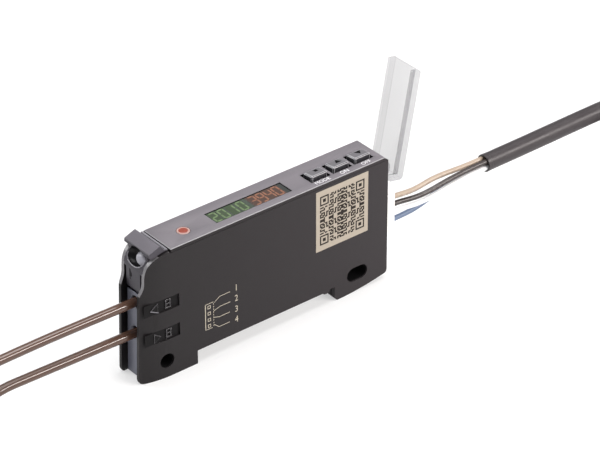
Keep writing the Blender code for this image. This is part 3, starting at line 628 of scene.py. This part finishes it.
# the cable: a hank of four layers, wound from its top down
XN, XF, YC, R = 145.3, 220.1, 1.0, 11.8
LAYER = [0.9 + 3.95 * (k + 0.5) for k in range(4)]
pts = []
for i in range(91):
    x = 94.0 + (172.0 - 94.0) * i / 90
    pts.append((x, SHEATH_Y + (YC - R - SHEATH_Y) * ease(x, 127.0, 171.0),
                SHEATH_Z + 0.4 * ease(x, 94.0, 134.0)
                + (LAYER[3] - SHEATH_Z - 0.4) * ease(x, 134.0, 160.0)))
pts += run(172.0, XF, YC - R, YC - R, LAYER[3], LAYER[3])
pts += half_turn(XF, YC, R, LAYER[3], -1, 1)
for k in (3, 2, 1):
    pts += run(XF, XN, YC + R, YC + R, LAYER[k], LAYER[k - 1], (0.1, 0.9))
    pts += half_turn(XN, YC, R, LAYER[k - 1], 1, -1)
    if k > 1:
        pts += run(XN, XF, YC - R, YC - R, LAYER[k - 1], LAYER[k - 1])
        pts += half_turn(XF, YC, R, LAYER[k - 1], -1, 1)
pts += run(XN, 232.2, YC - R, YC - R, LAYER[0], 2.2, (0.7, 1.0))
pts += [(234.5, YC - R, 2.05), (236.7, YC - R, 2.0)]
cable_line = softened(even(pts, 1.0), 6)
cable = cord_curve("cable", cable_line, SHEATH_D, sheath_mat, "amplifier", 7)
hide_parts("cable_sheath", "cable_hank", "cable_tail")

# the fibres: two hanks, one on the other
FN, FF, FYC = -44.6, -81.6, 3.0
RO, RI = 8.12, 6.1
LOW = [0.9 + 2.05 * (k + 0.5) for k in range(4)]
HIGH = [9.4 + 2.05 * (k + 0.5) for k in range(4)]


def fibre_in(z, yaw, heights):
    """Out of the block and nearly level, as far as x = -33."""
    out = []
    for i in range(41):
        x = 16.2 + (-33.0 - 16.2) * i / 40
        h = z
        for a, b, d in heights:
            h += d * ease(-x, -a, -b)
        out.append((x, 4.3 + max(0.0, 1.5 - x) * yaw, h))
    return out


# upper: down its outer column, up its inner one, and out over the top
pts = fibre_in(17.5, 0.018, [(-14.0, -52.0, HIGH[3] - 17.5)])
for i in range(1, 41):
    x = -33.0 - 25.0 * i / 40
    y = 4.3 + (1.5 - x) * 0.018
    pts.append((x, y + (FYC + RO - y) * ease(-x, 33.0, 58.0),
                17.5 + (HIGH[3] - 17.5) * ease(-x, 14.0, 52.0)))
pts += run(-58.0, FF, FYC + RO, FYC + RO, HIGH[3], HIGH[3])
O, I = RO, RI
far = [(O, 3), (O, 2), (O, 1), (O, 0), (I, 0), (I, 1)]
near = [(O, 2), (O, 1), (O, 0), (I, 0), (I, 1), (I, 2)]
for n, (f, g) in enumerate(zip(far, near)):
    pts += half_turn(FF, FYC, f[0], HIGH[f[1]], 1, -1)
    window = (0.6, 1.0) if g[1] < f[1] else (0.0, 0.35) if g[1] > f[1] else (0.3, 0.7)
    shift = 1.5 if g[1] == 0 else 0.0
    pts += run(FF, FN - shift, FYC - f[0], FYC - g[0], HIGH[f[1]], HIGH[g[1]], window)
    pts += half_turn(FN - shift, FYC, g[0], HIGH[g[1]], -1, 1)
    if n < 5:
        pts += run(FN - shift, FF, FYC + g[0], FYC + g[0], HIGH[g[1]], HIGH[g[1]])
HEAD_UP = -77.8
for i in range(61):
    x = FN + (HEAD_UP + 0.3 - FN) * i / 60
    pts.append((x, FYC + RI + (8.0 - FYC - RI) * ease(-x, 50.0, 72.0),
                HIGH[2] + (HIGH[3] - HIGH[2]) * ease(-x, 50.0, 62.0)
                + (20.335 - HIGH[3]) * ease(-x, 63.3, -HEAD_UP)))
upper_line = softened(even(pts, 0.7), 5)
fibre_up = cord_curve("fibre_upper_cord", upper_line, FIBRE_D, fibre_mat, "amplifier", 4)
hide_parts("fibre_upper", "fibre_upper_hank", "fibre_upper_end")

# lower: from its top layer down, and off along the floor
pts = fibre_in(10.3, 0.026, [(-27.5, -37.5, -1.95), (-37.0, -46.0, LOW[3] - 8.35)])
for i in range(1, 41):
    x = -33.0 - 27.0 * i / 40
    y = 4.3 + (1.5 - x) * 0.026
    pts.append((x, y + (FYC - RO - y) * ease(-x, 33.0, 60.0),
                10.3 - 1.95 * ease(-x, 27.5, 37.5) + (LOW[3] - 8.35) * ease(-x, 37.0, 46.0)))
pts += run(-60.0, FF, FYC - RO, FYC - RO, LOW[3], LOW[3])
far = [(O, 3), (I, 2), (O, 2), (O, 1), (I, 1), (I, 0)]
near = [(I, 2), (O, 2), (O, 1), (I, 1), (I, 0), (O, 0)]
windows = [((0.2, 0.5), (0.65, 0.95)), ((0.52, 0.82),) * 2, ((0.39, 0.69),) * 2,
           ((0.26, 0.56),) * 2, ((0.13, 0.43),) * 2, ((0.0, 0.3),) * 2]
for n, (f, g) in enumerate(zip(far, near)):
    pts += half_turn(FF, FYC, f[0], LOW[f[1]], -1, -1)
    pts += run(FF, FN, FYC + f[0], FYC + g[0], LOW[f[1]], LOW[g[1]], *windows[n])
    pts += half_turn(FN, FYC, g[0], LOW[g[1]], 1, 1)
    if n < 5:
        pts += run(FN, FF, FYC - g[0], FYC - g[0], LOW[g[1]], LOW[g[1]])
HEAD_LOW = -77.7
for i in range(61):
    x = FN + (HEAD_LOW + 0.3 - FN) * i / 60
    pts.append((x, FYC - RO + (-9.6 - FYC + RO) * ease(-x, 62.0, 77.4),
                LOW[0] + (2.435 - LOW[0]) * ease(-x, 62.0, 76.0)))
lower_line = softened(even(pts, 0.7), 5)
fibre_low = cord_curve("fibre_lower_cord", lower_line, FIBRE_D, fibre_mat, "amplifier", 4)
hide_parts("fibre_lower", "fibre_lower_hank", "fibre_lower_end")

# the four wires, from the plug into the sheath's cut end
WIRE_Z = (15.85, 13.95, 12.05, 10.15)
WIRE_SAG = (0.9, 0.55, 0.3, 0.1)
WIRE_ENDS = ((0.73, 0.73), (-0.73, 0.73), (-0.73, -0.73), (0.73, -0.73))
WIRE_NAMES = ("wire_brown", "wire_black", "wire_white", "wire_blue")
WIRE_MATS = (brown_mat, black_mat, wire_white_mat, blue_mat)
wires = []
for i, node in enumerate(WIRE_NAMES):
    dy, dz = WIRE_ENDS[i]
    pts = []
    for j in range(67):
        x = 65.0 + 0.5 * j
        beside, down = ease(x, 68.5, 80.0), ease(x, 73.0, 91.0)
        sag = WIRE_SAG[i] * math.exp(-((x - 74.5) / 5.0) ** 2)
        pts.append((x, 4.4 + beside * (SHEATH_Y + dy - 4.4),
                    WIRE_Z[i] + down * (SHEATH_Z + dz - WIRE_Z[i]) - sag))
    line = softened(even(pts, 0.5), 2)
    wire = cord_curve(node + "_cord", line, WIRE_D, WIRE_MATS[i], "amplifier", 4)
    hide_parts(node)
    wires.append(wire)

# ---------------------------------------------------- shells and what they hold
def wall_share(x, y, z):
    """The front edge's curve is rounded most, the rest a little."""
    if x < 7.7 and z > 19.5:
        return 1.0
    return 0.5 if x < 3.0 else 0.42


# the front shoulder faces, picked by position and normal, that get the painted highlight
def on_painted_highlight_shoulder(c, n):
    return c[0] < 5.2 and 20.5 < c[2] and n.x < -0.15 and abs(n.y) < 0.3


# the walls: their rounded edges carry a painted highlight, their front shoulders another
side = refined("side_cover", case_mat, 0.34, 3, 32.0, edge_highlight_mat, share=wall_share,
               other=shoulder_highlight_mat, where=on_painted_highlight_shoulder)
main = refined("main_case", case_mat, 0.34, 3, 32.0, edge_highlight_mat,
               share=lambda x, y, z: wall_share(x, y, z) if y > 7.6 else 0.3,
               other=shoulder_highlight_mat, where=on_painted_highlight_shoulder)
fibre_block = refined("fibre_block", block_mat, 0.1)
clamp = refined("fibre_clamp", block_mat, 0.08)
# the cover's rounded edges and its end and side faces: painted shade
cover = refined("cover", cover_mat, 0.16, 2, 32.0, cover_edge_shade_mat, other=cover_end_shade_mat,
                where=lambda c, n: abs(n.z) > 0.6 or abs(n.y) > 0.9)


def obround(x0, x1, z, r):
    return arc(x1, z, r, -90, 90, 18) + arc(x0, z, r, 90, 270, 18)


# dark tubes inside the two fixing holes: painted shade
for name, (x0, x1, z, r) in (("hole_shade_front", (6.35, 6.35, 3.9, 1.62)),
                             ("hole_shade_rear", (53.95, 56.05, 4.4, 1.62))):
    base, core = bmesh.new(), bmesh.new()
    prism(base, [(x, 0.35, z) for x, z in obround(x0, x1 + 1e-3, z, r)], (0.0, 8.3, 0.0))
    prism(core, [(x, 0.0, z) for x, z in obround(x0, x1 + 1e-3, z, r - 0.12)],
          (0.0, 9.0, 0.0))
    from_bm(name, combined(base, [(core, "DIFFERENCE")]), [black_and_shade_mat], "amplifier", 40.0)


# the lever: a grip across the top and a plate with a finger hollow
PX, PZ = 3.4, 21.0
plate = ([(7.45, 29.4), (3.35, 29.4), (3.3, 28.6), (3.15, 27.85), (2.62, 27.1),
          (2.2, 26.3), (2.0, 25.5), (1.93, 24.8), (1.93, 22.5)]
         + arc(PX, PZ, 1.47, 180, 300, 16)
         + [(4.87, 21.0), (4.87, 24.5), (5.3, 26.8), (7.45, 28.5)])
grip = [(7.45, 29.45), (6.75, 29.6), (6.6, 29.66), (5.8, 30.72), (5.68, 30.82),
        (5.45, 30.85), (3.3, 30.02), (3.08, 29.9), (2.98, 29.7), (2.98, 29.2),
        (3.12, 29.0), (3.5, 28.72), (4.4, 28.82), (5.4, 29.14), (6.6, 29.32),
        (7.45, 29.35)]
shell = ([(7.45, 29.4), (3.35, 29.4), (3.3, 28.6), (3.15, 27.85), (2.62, 27.1),
          (2.2, 26.3), (2.0, 25.5), (1.95, 24.9), (2.6, 24.2), (4.87, 24.2), (5.3, 26.8),
          (7.45, 28.5)])
base, top, wide = bmesh.new(), bmesh.new(), bmesh.new()
prism(base, [(x, 2.25, z) for x, z in plate], (0.0, 4.5, 0.0))
prism(wide, [(x, 1.42, z) for x, z in shell], (0.0, 6.16, 0.0))
prism(top, [(x, 0.45, z) for x, z in grip], (0.0, 8.1, 0.0))
shape = combined(base, [
    (wide, "UNION"), (top, "UNION"),
    (ball((2.35, 4.6, 27.8), (2.0, 2.76, 2.05)), "DIFFERENCE"),
    (barrel((PX, 1.0, PZ), (PX, 8.0, PZ), 0.8), "DIFFERENCE")])
bmesh.ops.recalc_face_normals(shape, faces=shape.faces)
shape.normal_update()
for f in shape.faces:
    c = f.calc_center_median()
    k = (((c.x - 2.35) / 2.0) ** 2 + ((c.y - 4.6) / 2.76) ** 2
         + ((c.z - 27.8) / 2.05) ** 2)
    # faces on the hollow's surface: painted shade
    if 0.9 < k < 1.02 and f.calc_area() < 0.3:
        f.material_index = 2
    # up-facing faces of the grip's top: painted light
    elif f.normal.z > 0.3 and c.z > 29.5:
        f.material_index = 3
lever = from_bm("lever_skin", shape, [lever_mat, lever_edge_highlight_mat, hollow_shade_mat, tab_lit_mat],
                "lever", 30.0)
# the rounded edges take the pale edge material: painted highlight
bevelled(lever, 0.13, 3, 38.0, 1)
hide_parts("lock_lever")
# a pale cord along the hollow's lower rim: painted highlight
rim = []
for i in range(33):
    t = math.radians(188 + 164 * i / 32)
    x = 2.2
    for _ in range(6):
        k = math.sqrt(max(0.0, 1 - ((x - 2.35) / 2.0) ** 2))
        y, z = 4.6 + 2.76 * k * math.cos(t), 27.8 + 2.05 * k * math.sin(t)
        low = [(24.8, 1.93), (25.5, 2.0), (26.3, 2.2), (27.1, 2.62), (27.85, 3.15),
               (28.6, 3.3), (29.4, 3.35)]
        for (za, xa), (zb, xb) in zip(low, low[1:]):
            if za <= z <= zb:
                x = xa + (xb - xa) * (z - za) / (zb - za)
    rim.append((x + 0.03, y, z))
cord_curve("lever_hollow_rim", rim, 0.26, lever_edge_highlight_mat, "lever", 3)
# a rounded pad inside the hollow, its pale tone a painted highlight
pad = ball((3.75, 3.27, 27.3), (1.3, 1.8, 1.5), 24)
pad_piece = from_bm("lever_pad_painted_highlight", pad, [pad_highlight_mat], "lever", 60.0)
# its rear rim, a light strip that is a painted highlight, and the small raised mark on its
# plate
bm = bmesh.new()
prism(bm, [(x, 0.5, z) for x, z in ((7.45, 29.4), (6.95, 29.5), (6.95, 29.68),
                                    (7.1, 29.74), (7.35, 29.7), (7.45, 29.6))],
      (0.0, 8.0, 0.0))
from_bm("lever_rim_highlight", bm, [rim_highlight_mat], "lever", 40.0)
bm = bmesh.new()
for outline in ([(5.35, 22.9), (5.62, 22.9), (5.62, 24.75), (5.35, 24.75)],
                [(4.95, 23.15), (5.2, 23.15), (5.2, 24.3), (4.95, 23.75)],
                [(5.35, 22.45), (5.62, 22.45), (5.62, 22.7), (5.35, 22.7)]):
    prism(bm, [(1.9, y, z) for y, z in outline], (0.1, 0.0, 0.0))
from_bm("lever_mark", bm, [mark_black], "lever", 0.0)


# the top panel, with a thin light line where its edge is broken: a painted highlight
def loop_at(bm, outline, z):
    verts = [bm.verts.new((x, y, z)) for x, y in outline]
    return verts, [bm.edges.new((verts[i], verts[(i + 1) % len(verts)]))
                   for i in range(len(verts))]


def circle(cx, cy, r, n=40):
    return [(cx + r * math.cos(2 * math.pi * i / n), cy + r * math.sin(2 * math.pi * i / n))
            for i in range(n)]


def plate_with_holes(name, outer, holes, z0, z1, chamfer, hole_chamfer, mats, body):
    """mats: face, broken edge, skirt, inside of the holes, underside."""
    def inset(points, by, outwards=False):
        cx = sum(p[0] for p in points) / len(points)
        cy = sum(p[1] for p in points) / len(points)
        w = max(p[0] for p in points) - min(p[0] for p in points)
        h = max(p[1] for p in points) - min(p[1] for p in points)
        k = 1.0 if outwards else -1.0
        return [(cx + (x - cx) * (1 + k * 2 * by / w), cy + (y - cy) * (1 + k * 2 * by / h))
                for x, y in points]

    bm = bmesh.new()
    loops = [(inset(outer, chamfer), outer, chamfer, 2)]
    loops += [(inset(h, hole_chamfer, True), h, hole_chamfer, 3) for h in holes]
    faces = []
    for z, pick, slot_no in ((z1, 0, 0), (z0, 1, 4)):
        edges, rings = [], []
        for item in loops:
            verts, es = loop_at(bm, item[pick], z)
            rings.append(verts)
            edges += es
        made = bmesh.ops.triangle_fill(bm, use_beauty=True, use_dissolve=False, edges=edges)
        for f in made["geom"]:
            if isinstance(f, bmesh.types.BMFace):
                f.material_index = slot_no
        faces.append(rings)
    for i, item in enumerate(loops):
        top, low = faces[0][i], faces[1][i]
        mid = [bm.verts.new((x, y, z1 - item[2])) for x, y in item[1]]
        n = len(top)
        for k in range(n):
            j = (k + 1) % n
            bm.faces.new([top[k], top[j], mid[j], mid[k]]).material_index = 1 if i == 0 else 0
            bm.faces.new([mid[k], mid[j], low[j], low[k]]).material_index = item[3]
    return from_bm(name, bm, mats, body, 50.0)


KEY_X, KEY_LX, KEY_Y0, KEY_Y1, KEY_GAP = (46.85, 52.45, 58.05), 4.1, 2.2, 5.1, 0.42
holes = [rect(20.6, 39.6, 2.0, 6.1), circle(13.85, 3.95, 1.42)]
holes += [rect(kx - KEY_LX / 2 - KEY_GAP, kx + KEY_LX / 2 + KEY_GAP, KEY_Y0 - KEY_GAP,
               KEY_Y1 + KEY_GAP) for kx in KEY_X]
# the walls of the panel's holes and its underside are near black: painted shade
panel = plate_with_holes("panel_skin", rect(7.9, 62.2, 0.06, 8.94), holes, 28.72, 29.5,
                         0.13, 0.05, [panel_mat, panel_edge_highlight_mat, case_mat, black_and_shade_mat,
                                      black_and_shade_mat], "amplifier")
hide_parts("top_panel")

# the display: a dark filter at the bottom of its window, and lit segments on it
bm = block(20.65, 39.55, 2.05, 6.05, 28.86, 29.3)
lens = from_bm("display_filter", bm, [lens_mat], "amplifier", 0.0)
bevelled(lens, 0.04, 2)
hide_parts("display_lens")
bm = bmesh.new()
on_top(bm, [rect(20.7, 30.3, 2.1, 6.0)], 29.303, 29.31)
from_bm("display_green_half", bm, [green_dim], "amplifier", 0.0)
bm = bmesh.new()
on_top(bm, [rect(30.4, 38.55, 2.1, 6.0)], 29.303, 29.31)
from_bm("display_orange_half", bm, [orange_dim], "amplifier", 0.0)
SEGMENTS = {"0": "abcdef", "1": "bc", "2": "abged", "3": "abgcd", "4": "fgbc",
            "9": "abcdfg"}


def digit(char, x, y, w, h, t, grow=0.0):
    """The lit bars of one seven-segment figure, as outlines in x and y."""
    k, g = t / 2, 0.06 - grow
    mid = y + h / 2
    spans = {"a": (x, x + w, y + h, "h"), "g": (x, x + w, mid, "h"), "d": (x, x + w, y, "h"),
             "f": (mid, y + h, x, "v"), "b": (mid, y + h, x + w, "v"),
             "e": (y, mid, x, "v"), "c": (y, mid, x + w, "v")}
    out = []
    for s in SEGMENTS[char]:
        a, b, c, way = spans[s]
        a, b = a + g, b - g
        k2 = k + grow
        pts = [(a, c), (a + k2, c - k2), (b - k2, c - k2), (b, c), (b - k2, c + k2),
               (a + k2, c + k2)]
        out.append(pts if way == "h" else [(q, p) for p, q in pts])
    return out


for tag, text, starts, glow, halo in (
        ("green", "2010", (21.2, 23.3, 25.55, 27.85), green_glow, green_halo),
        ("orange", "3940", (30.95, 32.85, 34.8, 36.75), orange_glow, orange_halo)):
    bm, dim = bmesh.new(), bmesh.new()
    for i, char in enumerate(text):
        x = starts[i]
        on_top(bm, digit(char, x, 2.5, 1.3, 3.1, 0.36), 29.325, 29.34)
        on_top(dim, [rect(x - 0.28, x + 1.58, 2.24, 5.86)], 29.313, 29.32)
    from_bm("digits_" + tag, bm, [glow], "amplifier", 0.0)
    from_bm("digits_" + tag + "_halo", dim, [halo], "amplifier", 0.0)

# the round indicator, nearly flush, in its pale ring
bm = combined(barrel((13.85, 3.95, 27.4), (13.85, 3.95, 28.9), 1.05, 40), [
    (barrel((13.85, 3.95, 28.75), (13.85, 3.95, 29.5), 1.36, 40), "UNION")])
lamp = from_bm("indicator_ring", bm, [ring_mat], "amplifier", 30.0)
bevelled(lamp, 0.1, 3, 38.0)
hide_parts("status_lens")
from_bm("indicator_core", ball((13.85, 3.95, 29.46), (1.0, 1.0, 0.14), 16), [lamp_glow],
        "amplifier", 60.0)

plug = refined("plug", white_mat, 0.25, 3)
header = refined("header", cream_mat, 0.12)
spring = refined("rail_spring", steel_mat, 0.06)
tie_a = refined("cable_tie", tie_mat, 0.2, 2)
tie_b = refined("fibre_tie", tie_mat, 0.2, 2)
heads = [refined(n, plated_mat, 0.05) for n in ("head_upper", "head_lower")]
nuts = [refined(n, plated_mat, 0.15) for n in ("nut_upper", "nut_lower")]

# the keys: a glossy cap whose broken edges carry a painted highlight, a top painted paler
# (painted light), and a black mark
MARKS = {"key_mode": [(-0.4, -0.42), (0.4, -0.42), (0.4, 0.42), (-0.4, 0.42)],
         "key_on": [(-0.78, -0.55), (0.78, -0.55), (0.0, 0.75)],
         "key_off": [(-0.78, 0.55), (0.0, -0.75), (0.78, 0.55)]}
for node, kx in zip(("key_mode", "key_on", "key_off"), KEY_X):
    refined(node, key_mat, 0.2, 3, 32.0, key_edge_highlight_mat, other=key_top_lit_mat,
            where=lambda c, n: c[2] > 30.0 and n.z > 0.9)
    bm = bmesh.new()
    outline = [(kx + 0.35 + x, 4.0 + y) for x, y in MARKS[node]]
    levels = []
    for lift in (-0.05, 0.03):
        levels.append([bm.verts.new((x, y, 30.55 - 0.4 * (y - KEY_Y0) / (KEY_Y1 - KEY_Y0)
                                     + lift)) for x, y in outline])
        bm.faces.new(levels[-1])
    for i in range(len(outline)):
        j = (i + 1) % len(outline)
        bm.faces.new([levels[0][i], levels[0][j], levels[1][j], levels[1][i]])
    from_bm(node + "_mark", bm, [mark_black], body_of(node), 0.0)

lettering("key_labels", [("MODE", 44.75, 0.62, 0.95, 0.95), ("ON", 51.2, 0.62, 0.95, 1.0),
                         ("OFF", 56.75, 0.62, 0.95, 1.0)], print_white, "amplifier",
          29.5, 0.02)

# the near side: two recessed fields, a plain terminal diagram and a pattern panel
# dark sheets on the fields' floors: painted shade in the recesses
bm = bmesh.new()
for zc in (17.2, 10.3):
    on_side(bm, [rect(1.28, 9.52, zc - 1.37, zc + 1.37)], 0.36, 0.43)
from_bm("field_floors", bm, [recess_shade_mat], "amplifier", 0.0)
# raised arrows and window marks, dark as the recess (painted shade), with a painted highlight
# on their rounded edges
bm = bmesh.new()
for zc, way in ((17.2, -1), (10.3, 1)):
    cx = 4.0
    on_side(bm, [[(cx + way * 1.15, zc - 0.15), (cx - way * 0.55, zc + 1.0),
                  (cx - way * 0.55, zc - 1.15)]], 0.2, 0.37)
    on_side(bm, frame_of(6.3, 7.6, zc - 1.0, zc + 1.05, 0.26), 0.12, 0.37)
    on_side(bm, [rect(6.56, 7.34, zc - 0.08, zc + 0.16)], 0.12, 0.37)
bevelled(from_bm("field_marks", bm, [recess_shade_mat, edge_highlight_mat], "amplifier", 0.0), 0.06, 2, 32.0, 1)
# a light bar along each arrow's lower edge: painted highlight
bm = bmesh.new()
on_side(bm, [bar((2.7, 17.0), (4.6, 16.0), 0.16)], 0.15, 0.3)
from_bm("field_arrow_edge_highlight", bm, [rim_highlight_mat], "amplifier", 0.0)

bm = bmesh.new()
on_side(bm, [rect(15.8, 15.98, 7.0, 13.1)], -0.015, 0.02)
on_side(bm, [bar((15.9, 13.05), (17.9, 13.05), 0.12), bar((15.9, 7.05), (17.6, 7.05), 0.12)],
        -0.015, 0.02)
for k in range(9):
    on_side(bm, [rect(17.85, 17.98, 7.25 + 0.64 * k, 7.6 + 0.64 * k)], -0.015, 0.02)
for z in (12.2, 10.7, 9.2, 7.75):
    on_side(bm, frame_of(16.45, 17.2, z - 0.38, z + 0.38, 0.13), -0.015, 0.02)
for a, b, c in (((18.05, 12.75), (19.5, 13.7), (22.1, 13.7)),
                ((18.0, 10.85), (19.5, 11.3), (22.1, 11.3)),
                ((18.0, 9.3), (19.3, 8.9), (22.0, 8.9)),
                ((18.0, 7.6), (19.2, 6.55), (21.9, 6.55))):
    on_side(bm, [bar(a, b, 0.12), bar(b, c, 0.12)], -0.015, 0.02)
from_bm("terminal_diagram", bm, [print_beige], "amplifier", 0.0)
lettering("terminal_numbers", [(str(i + 1), 23.2, z, 1.45, 0.85)
                               for i, z in enumerate((13.35, 10.85, 8.3, 5.8))],
          print_beige, "amplifier", "side", 0.02)

bm = bmesh.new()
on_side(bm, [rect(44.1, 57.7, 13.8, 28.05)], -0.012, 0.03)
from_bm("pattern_panel", bm, [label_mat], "amplifier", 0.0)
bm = bmesh.new()
N, PITCH = 36, 11.6 / 36
PX0, PZ0 = 45.1, 15.1
for i in range(N):
    for j in range(N):
        u, v = min(i, N - 1 - i), min(j, N - 1 - j)
        if (u < 8 and v < 8) or (u * u + 3 * u * v + v * v + 2 * u) % 7 > 2:
            continue
        x, z = PX0 + i * PITCH, PZ0 + j * PITCH
        on_side(bm, [rect(x, x + PITCH, z, z + PITCH)], -0.026, -0.01)
for x in (PX0, PX0 + 29 * PITCH):
    for z in (PZ0, PZ0 + 29 * PITCH):
        on_side(bm, frame_of(x, x + 7 * PITCH, z, z + 7 * PITCH, PITCH), -0.026, -0.01)
        on_side(bm, [rect(x + 2.3 * PITCH, x + 4.7 * PITCH, z + 2.3 * PITCH,
                          z + 4.7 * PITCH)], -0.026, -0.01)
from_bm("pattern_modules", bm, [module_mat], "amplifier", 0.0)

# the sheath's cut end: a thin lip round the four wires
bm = combined(barrel((93.3, 4.3, 14.1), (94.4, 4.3, 14.105), 1.97, 40), [
    (barrel((92.9, 4.3, 14.1), (93.95, 4.3, 14.1), 1.62, 40), "DIFFERENCE")])
lip = from_bm("sheath_lip", bm, [sheath_mat], "amplifier", 40.0)
bevelled(lip, 0.1, 3, 40.0)
# a dark disc inside the lip: painted shade in the sheath's mouth
mouth = from_bm("sheath_mouth_shade", barrel((93.9, 4.3, 14.1), (93.97, 4.3, 14.1), 1.61, 40),
                [black_and_shade_mat], "amplifier", 40.0)
for node, mat in (("display_module", black_and_shade_mat), ("status_led", cream_mat),
                  ("display_board", board_mat), ("main_board", board_mat),
                  ("processor_chip", chip_mat), ("emitter_element", opto_mat),
                  ("receiver_element", opto_mat), ("lever_pin", steel_mat),
                  ("switch_mode", chip_mat), ("switch_on", chip_mat),
                  ("switch_off", chip_mat), ("lead_brown", brown_mat),
                  ("lead_black", black_mat), ("lead_white", wire_white_mat),
                  ("lead_blue", blue_mat)):
    paint(node, mat)

print("LENGTHS cable %.1f upper %.1f lower %.1f" % (
    line_of(cable_line), line_of(upper_line), line_of(lower_line)))

# -------------------------------------------------------------- stage and light
bm = bmesh.new()
bmesh.ops.create_grid(bm, x_segments=1, y_segments=1, size=4.0)
mesh = bpy.data.meshes.new("floor")
bm.to_mesh(mesh)
bm.free()
floor = bpy.data.objects.new("floor", mesh)
floor_mat = surface("floor_pale", (0.4, 0.4, 0.4, 1.0), 0.9, 0.01, 3.0, 60.0, 0.0,
                    specular=0.1)
floor_shader = floor_mat.node_tree.nodes["Principled BSDF"]
# painted light: the floor's glow rises by a quarter from x = 0.075 m to 0.1 m and stays
# there, which washes out the cable hank's shadow
glow = floor_mat.node_tree
where = glow.nodes.new("ShaderNodeSeparateXYZ")
glow.links.new(object_coords(glow), where.inputs["Vector"])
glow.links.new(mixed(glow, spread(glow, where.outputs["X"], 0.0, 1.0, 0.075, 0.1),
                     (0.8, 0.8, 0.8, 1.0), (1.0, 1.0, 1.0, 1.0)),
               floor_shader.inputs["Emission Color"])
floor_shader.inputs["Emission Strength"].default_value = 0.625
mesh.materials.append(floor_mat)
scene.collection.objects.link(floor)


def light(name, at, aim, size, power, colour=(1.0, 1.0, 1.0), other=None):
    data = bpy.data.lights.new(name, "AREA")
    data.shape = "RECTANGLE" if other else "DISK"
    data.size = size
    if other:
        data.size_y = other
    data.energy = power
    data.color = colour
    obj = bpy.data.objects.new(name, data)
    scene.collection.objects.link(obj)
    obj.location = at
    obj.rotation_mode = "QUATERNION"
    obj.rotation_quaternion = (Vector(aim) - Vector(at)).to_track_quat("-Z", "Y")
    return obj


light("key", (0.12, 0.05, 1.0), (0.0, 0.0, 0.0), 0.8, 10.0)
light("front_right", (0.31, -0.52, 0.36), (-0.03, 0.0, 0.015), 0.55, 5.2, (1.0, 0.95, 0.92),
      0.13)
light("back_left", (-0.33, 0.5, 0.36), (0.0, 0.0, 0.02), 0.3, 2.4)
world = bpy.data.worlds.new("studio")
scene.world = world
world.use_nodes = True
tree = world.node_tree
facing = tree.nodes.new("ShaderNodeTexCoord").outputs["Generated"]
parts = tree.nodes.new("ShaderNodeSeparateXYZ")
tree.links.new(facing, parts.inputs["Vector"])
tree.links.new(mixed(tree, spread(tree, parts.outputs["X"], 0.0, 1.0, -0.8, 0.8),
                     (0.5, 0.5, 0.51, 1.0), (1.0, 1.0, 1.0, 1.0)),
               tree.nodes["Background"].inputs["Color"])
tree.nodes["Background"].inputs["Strength"].default_value = 0.55
scene.view_settings.view_transform = "Standard"
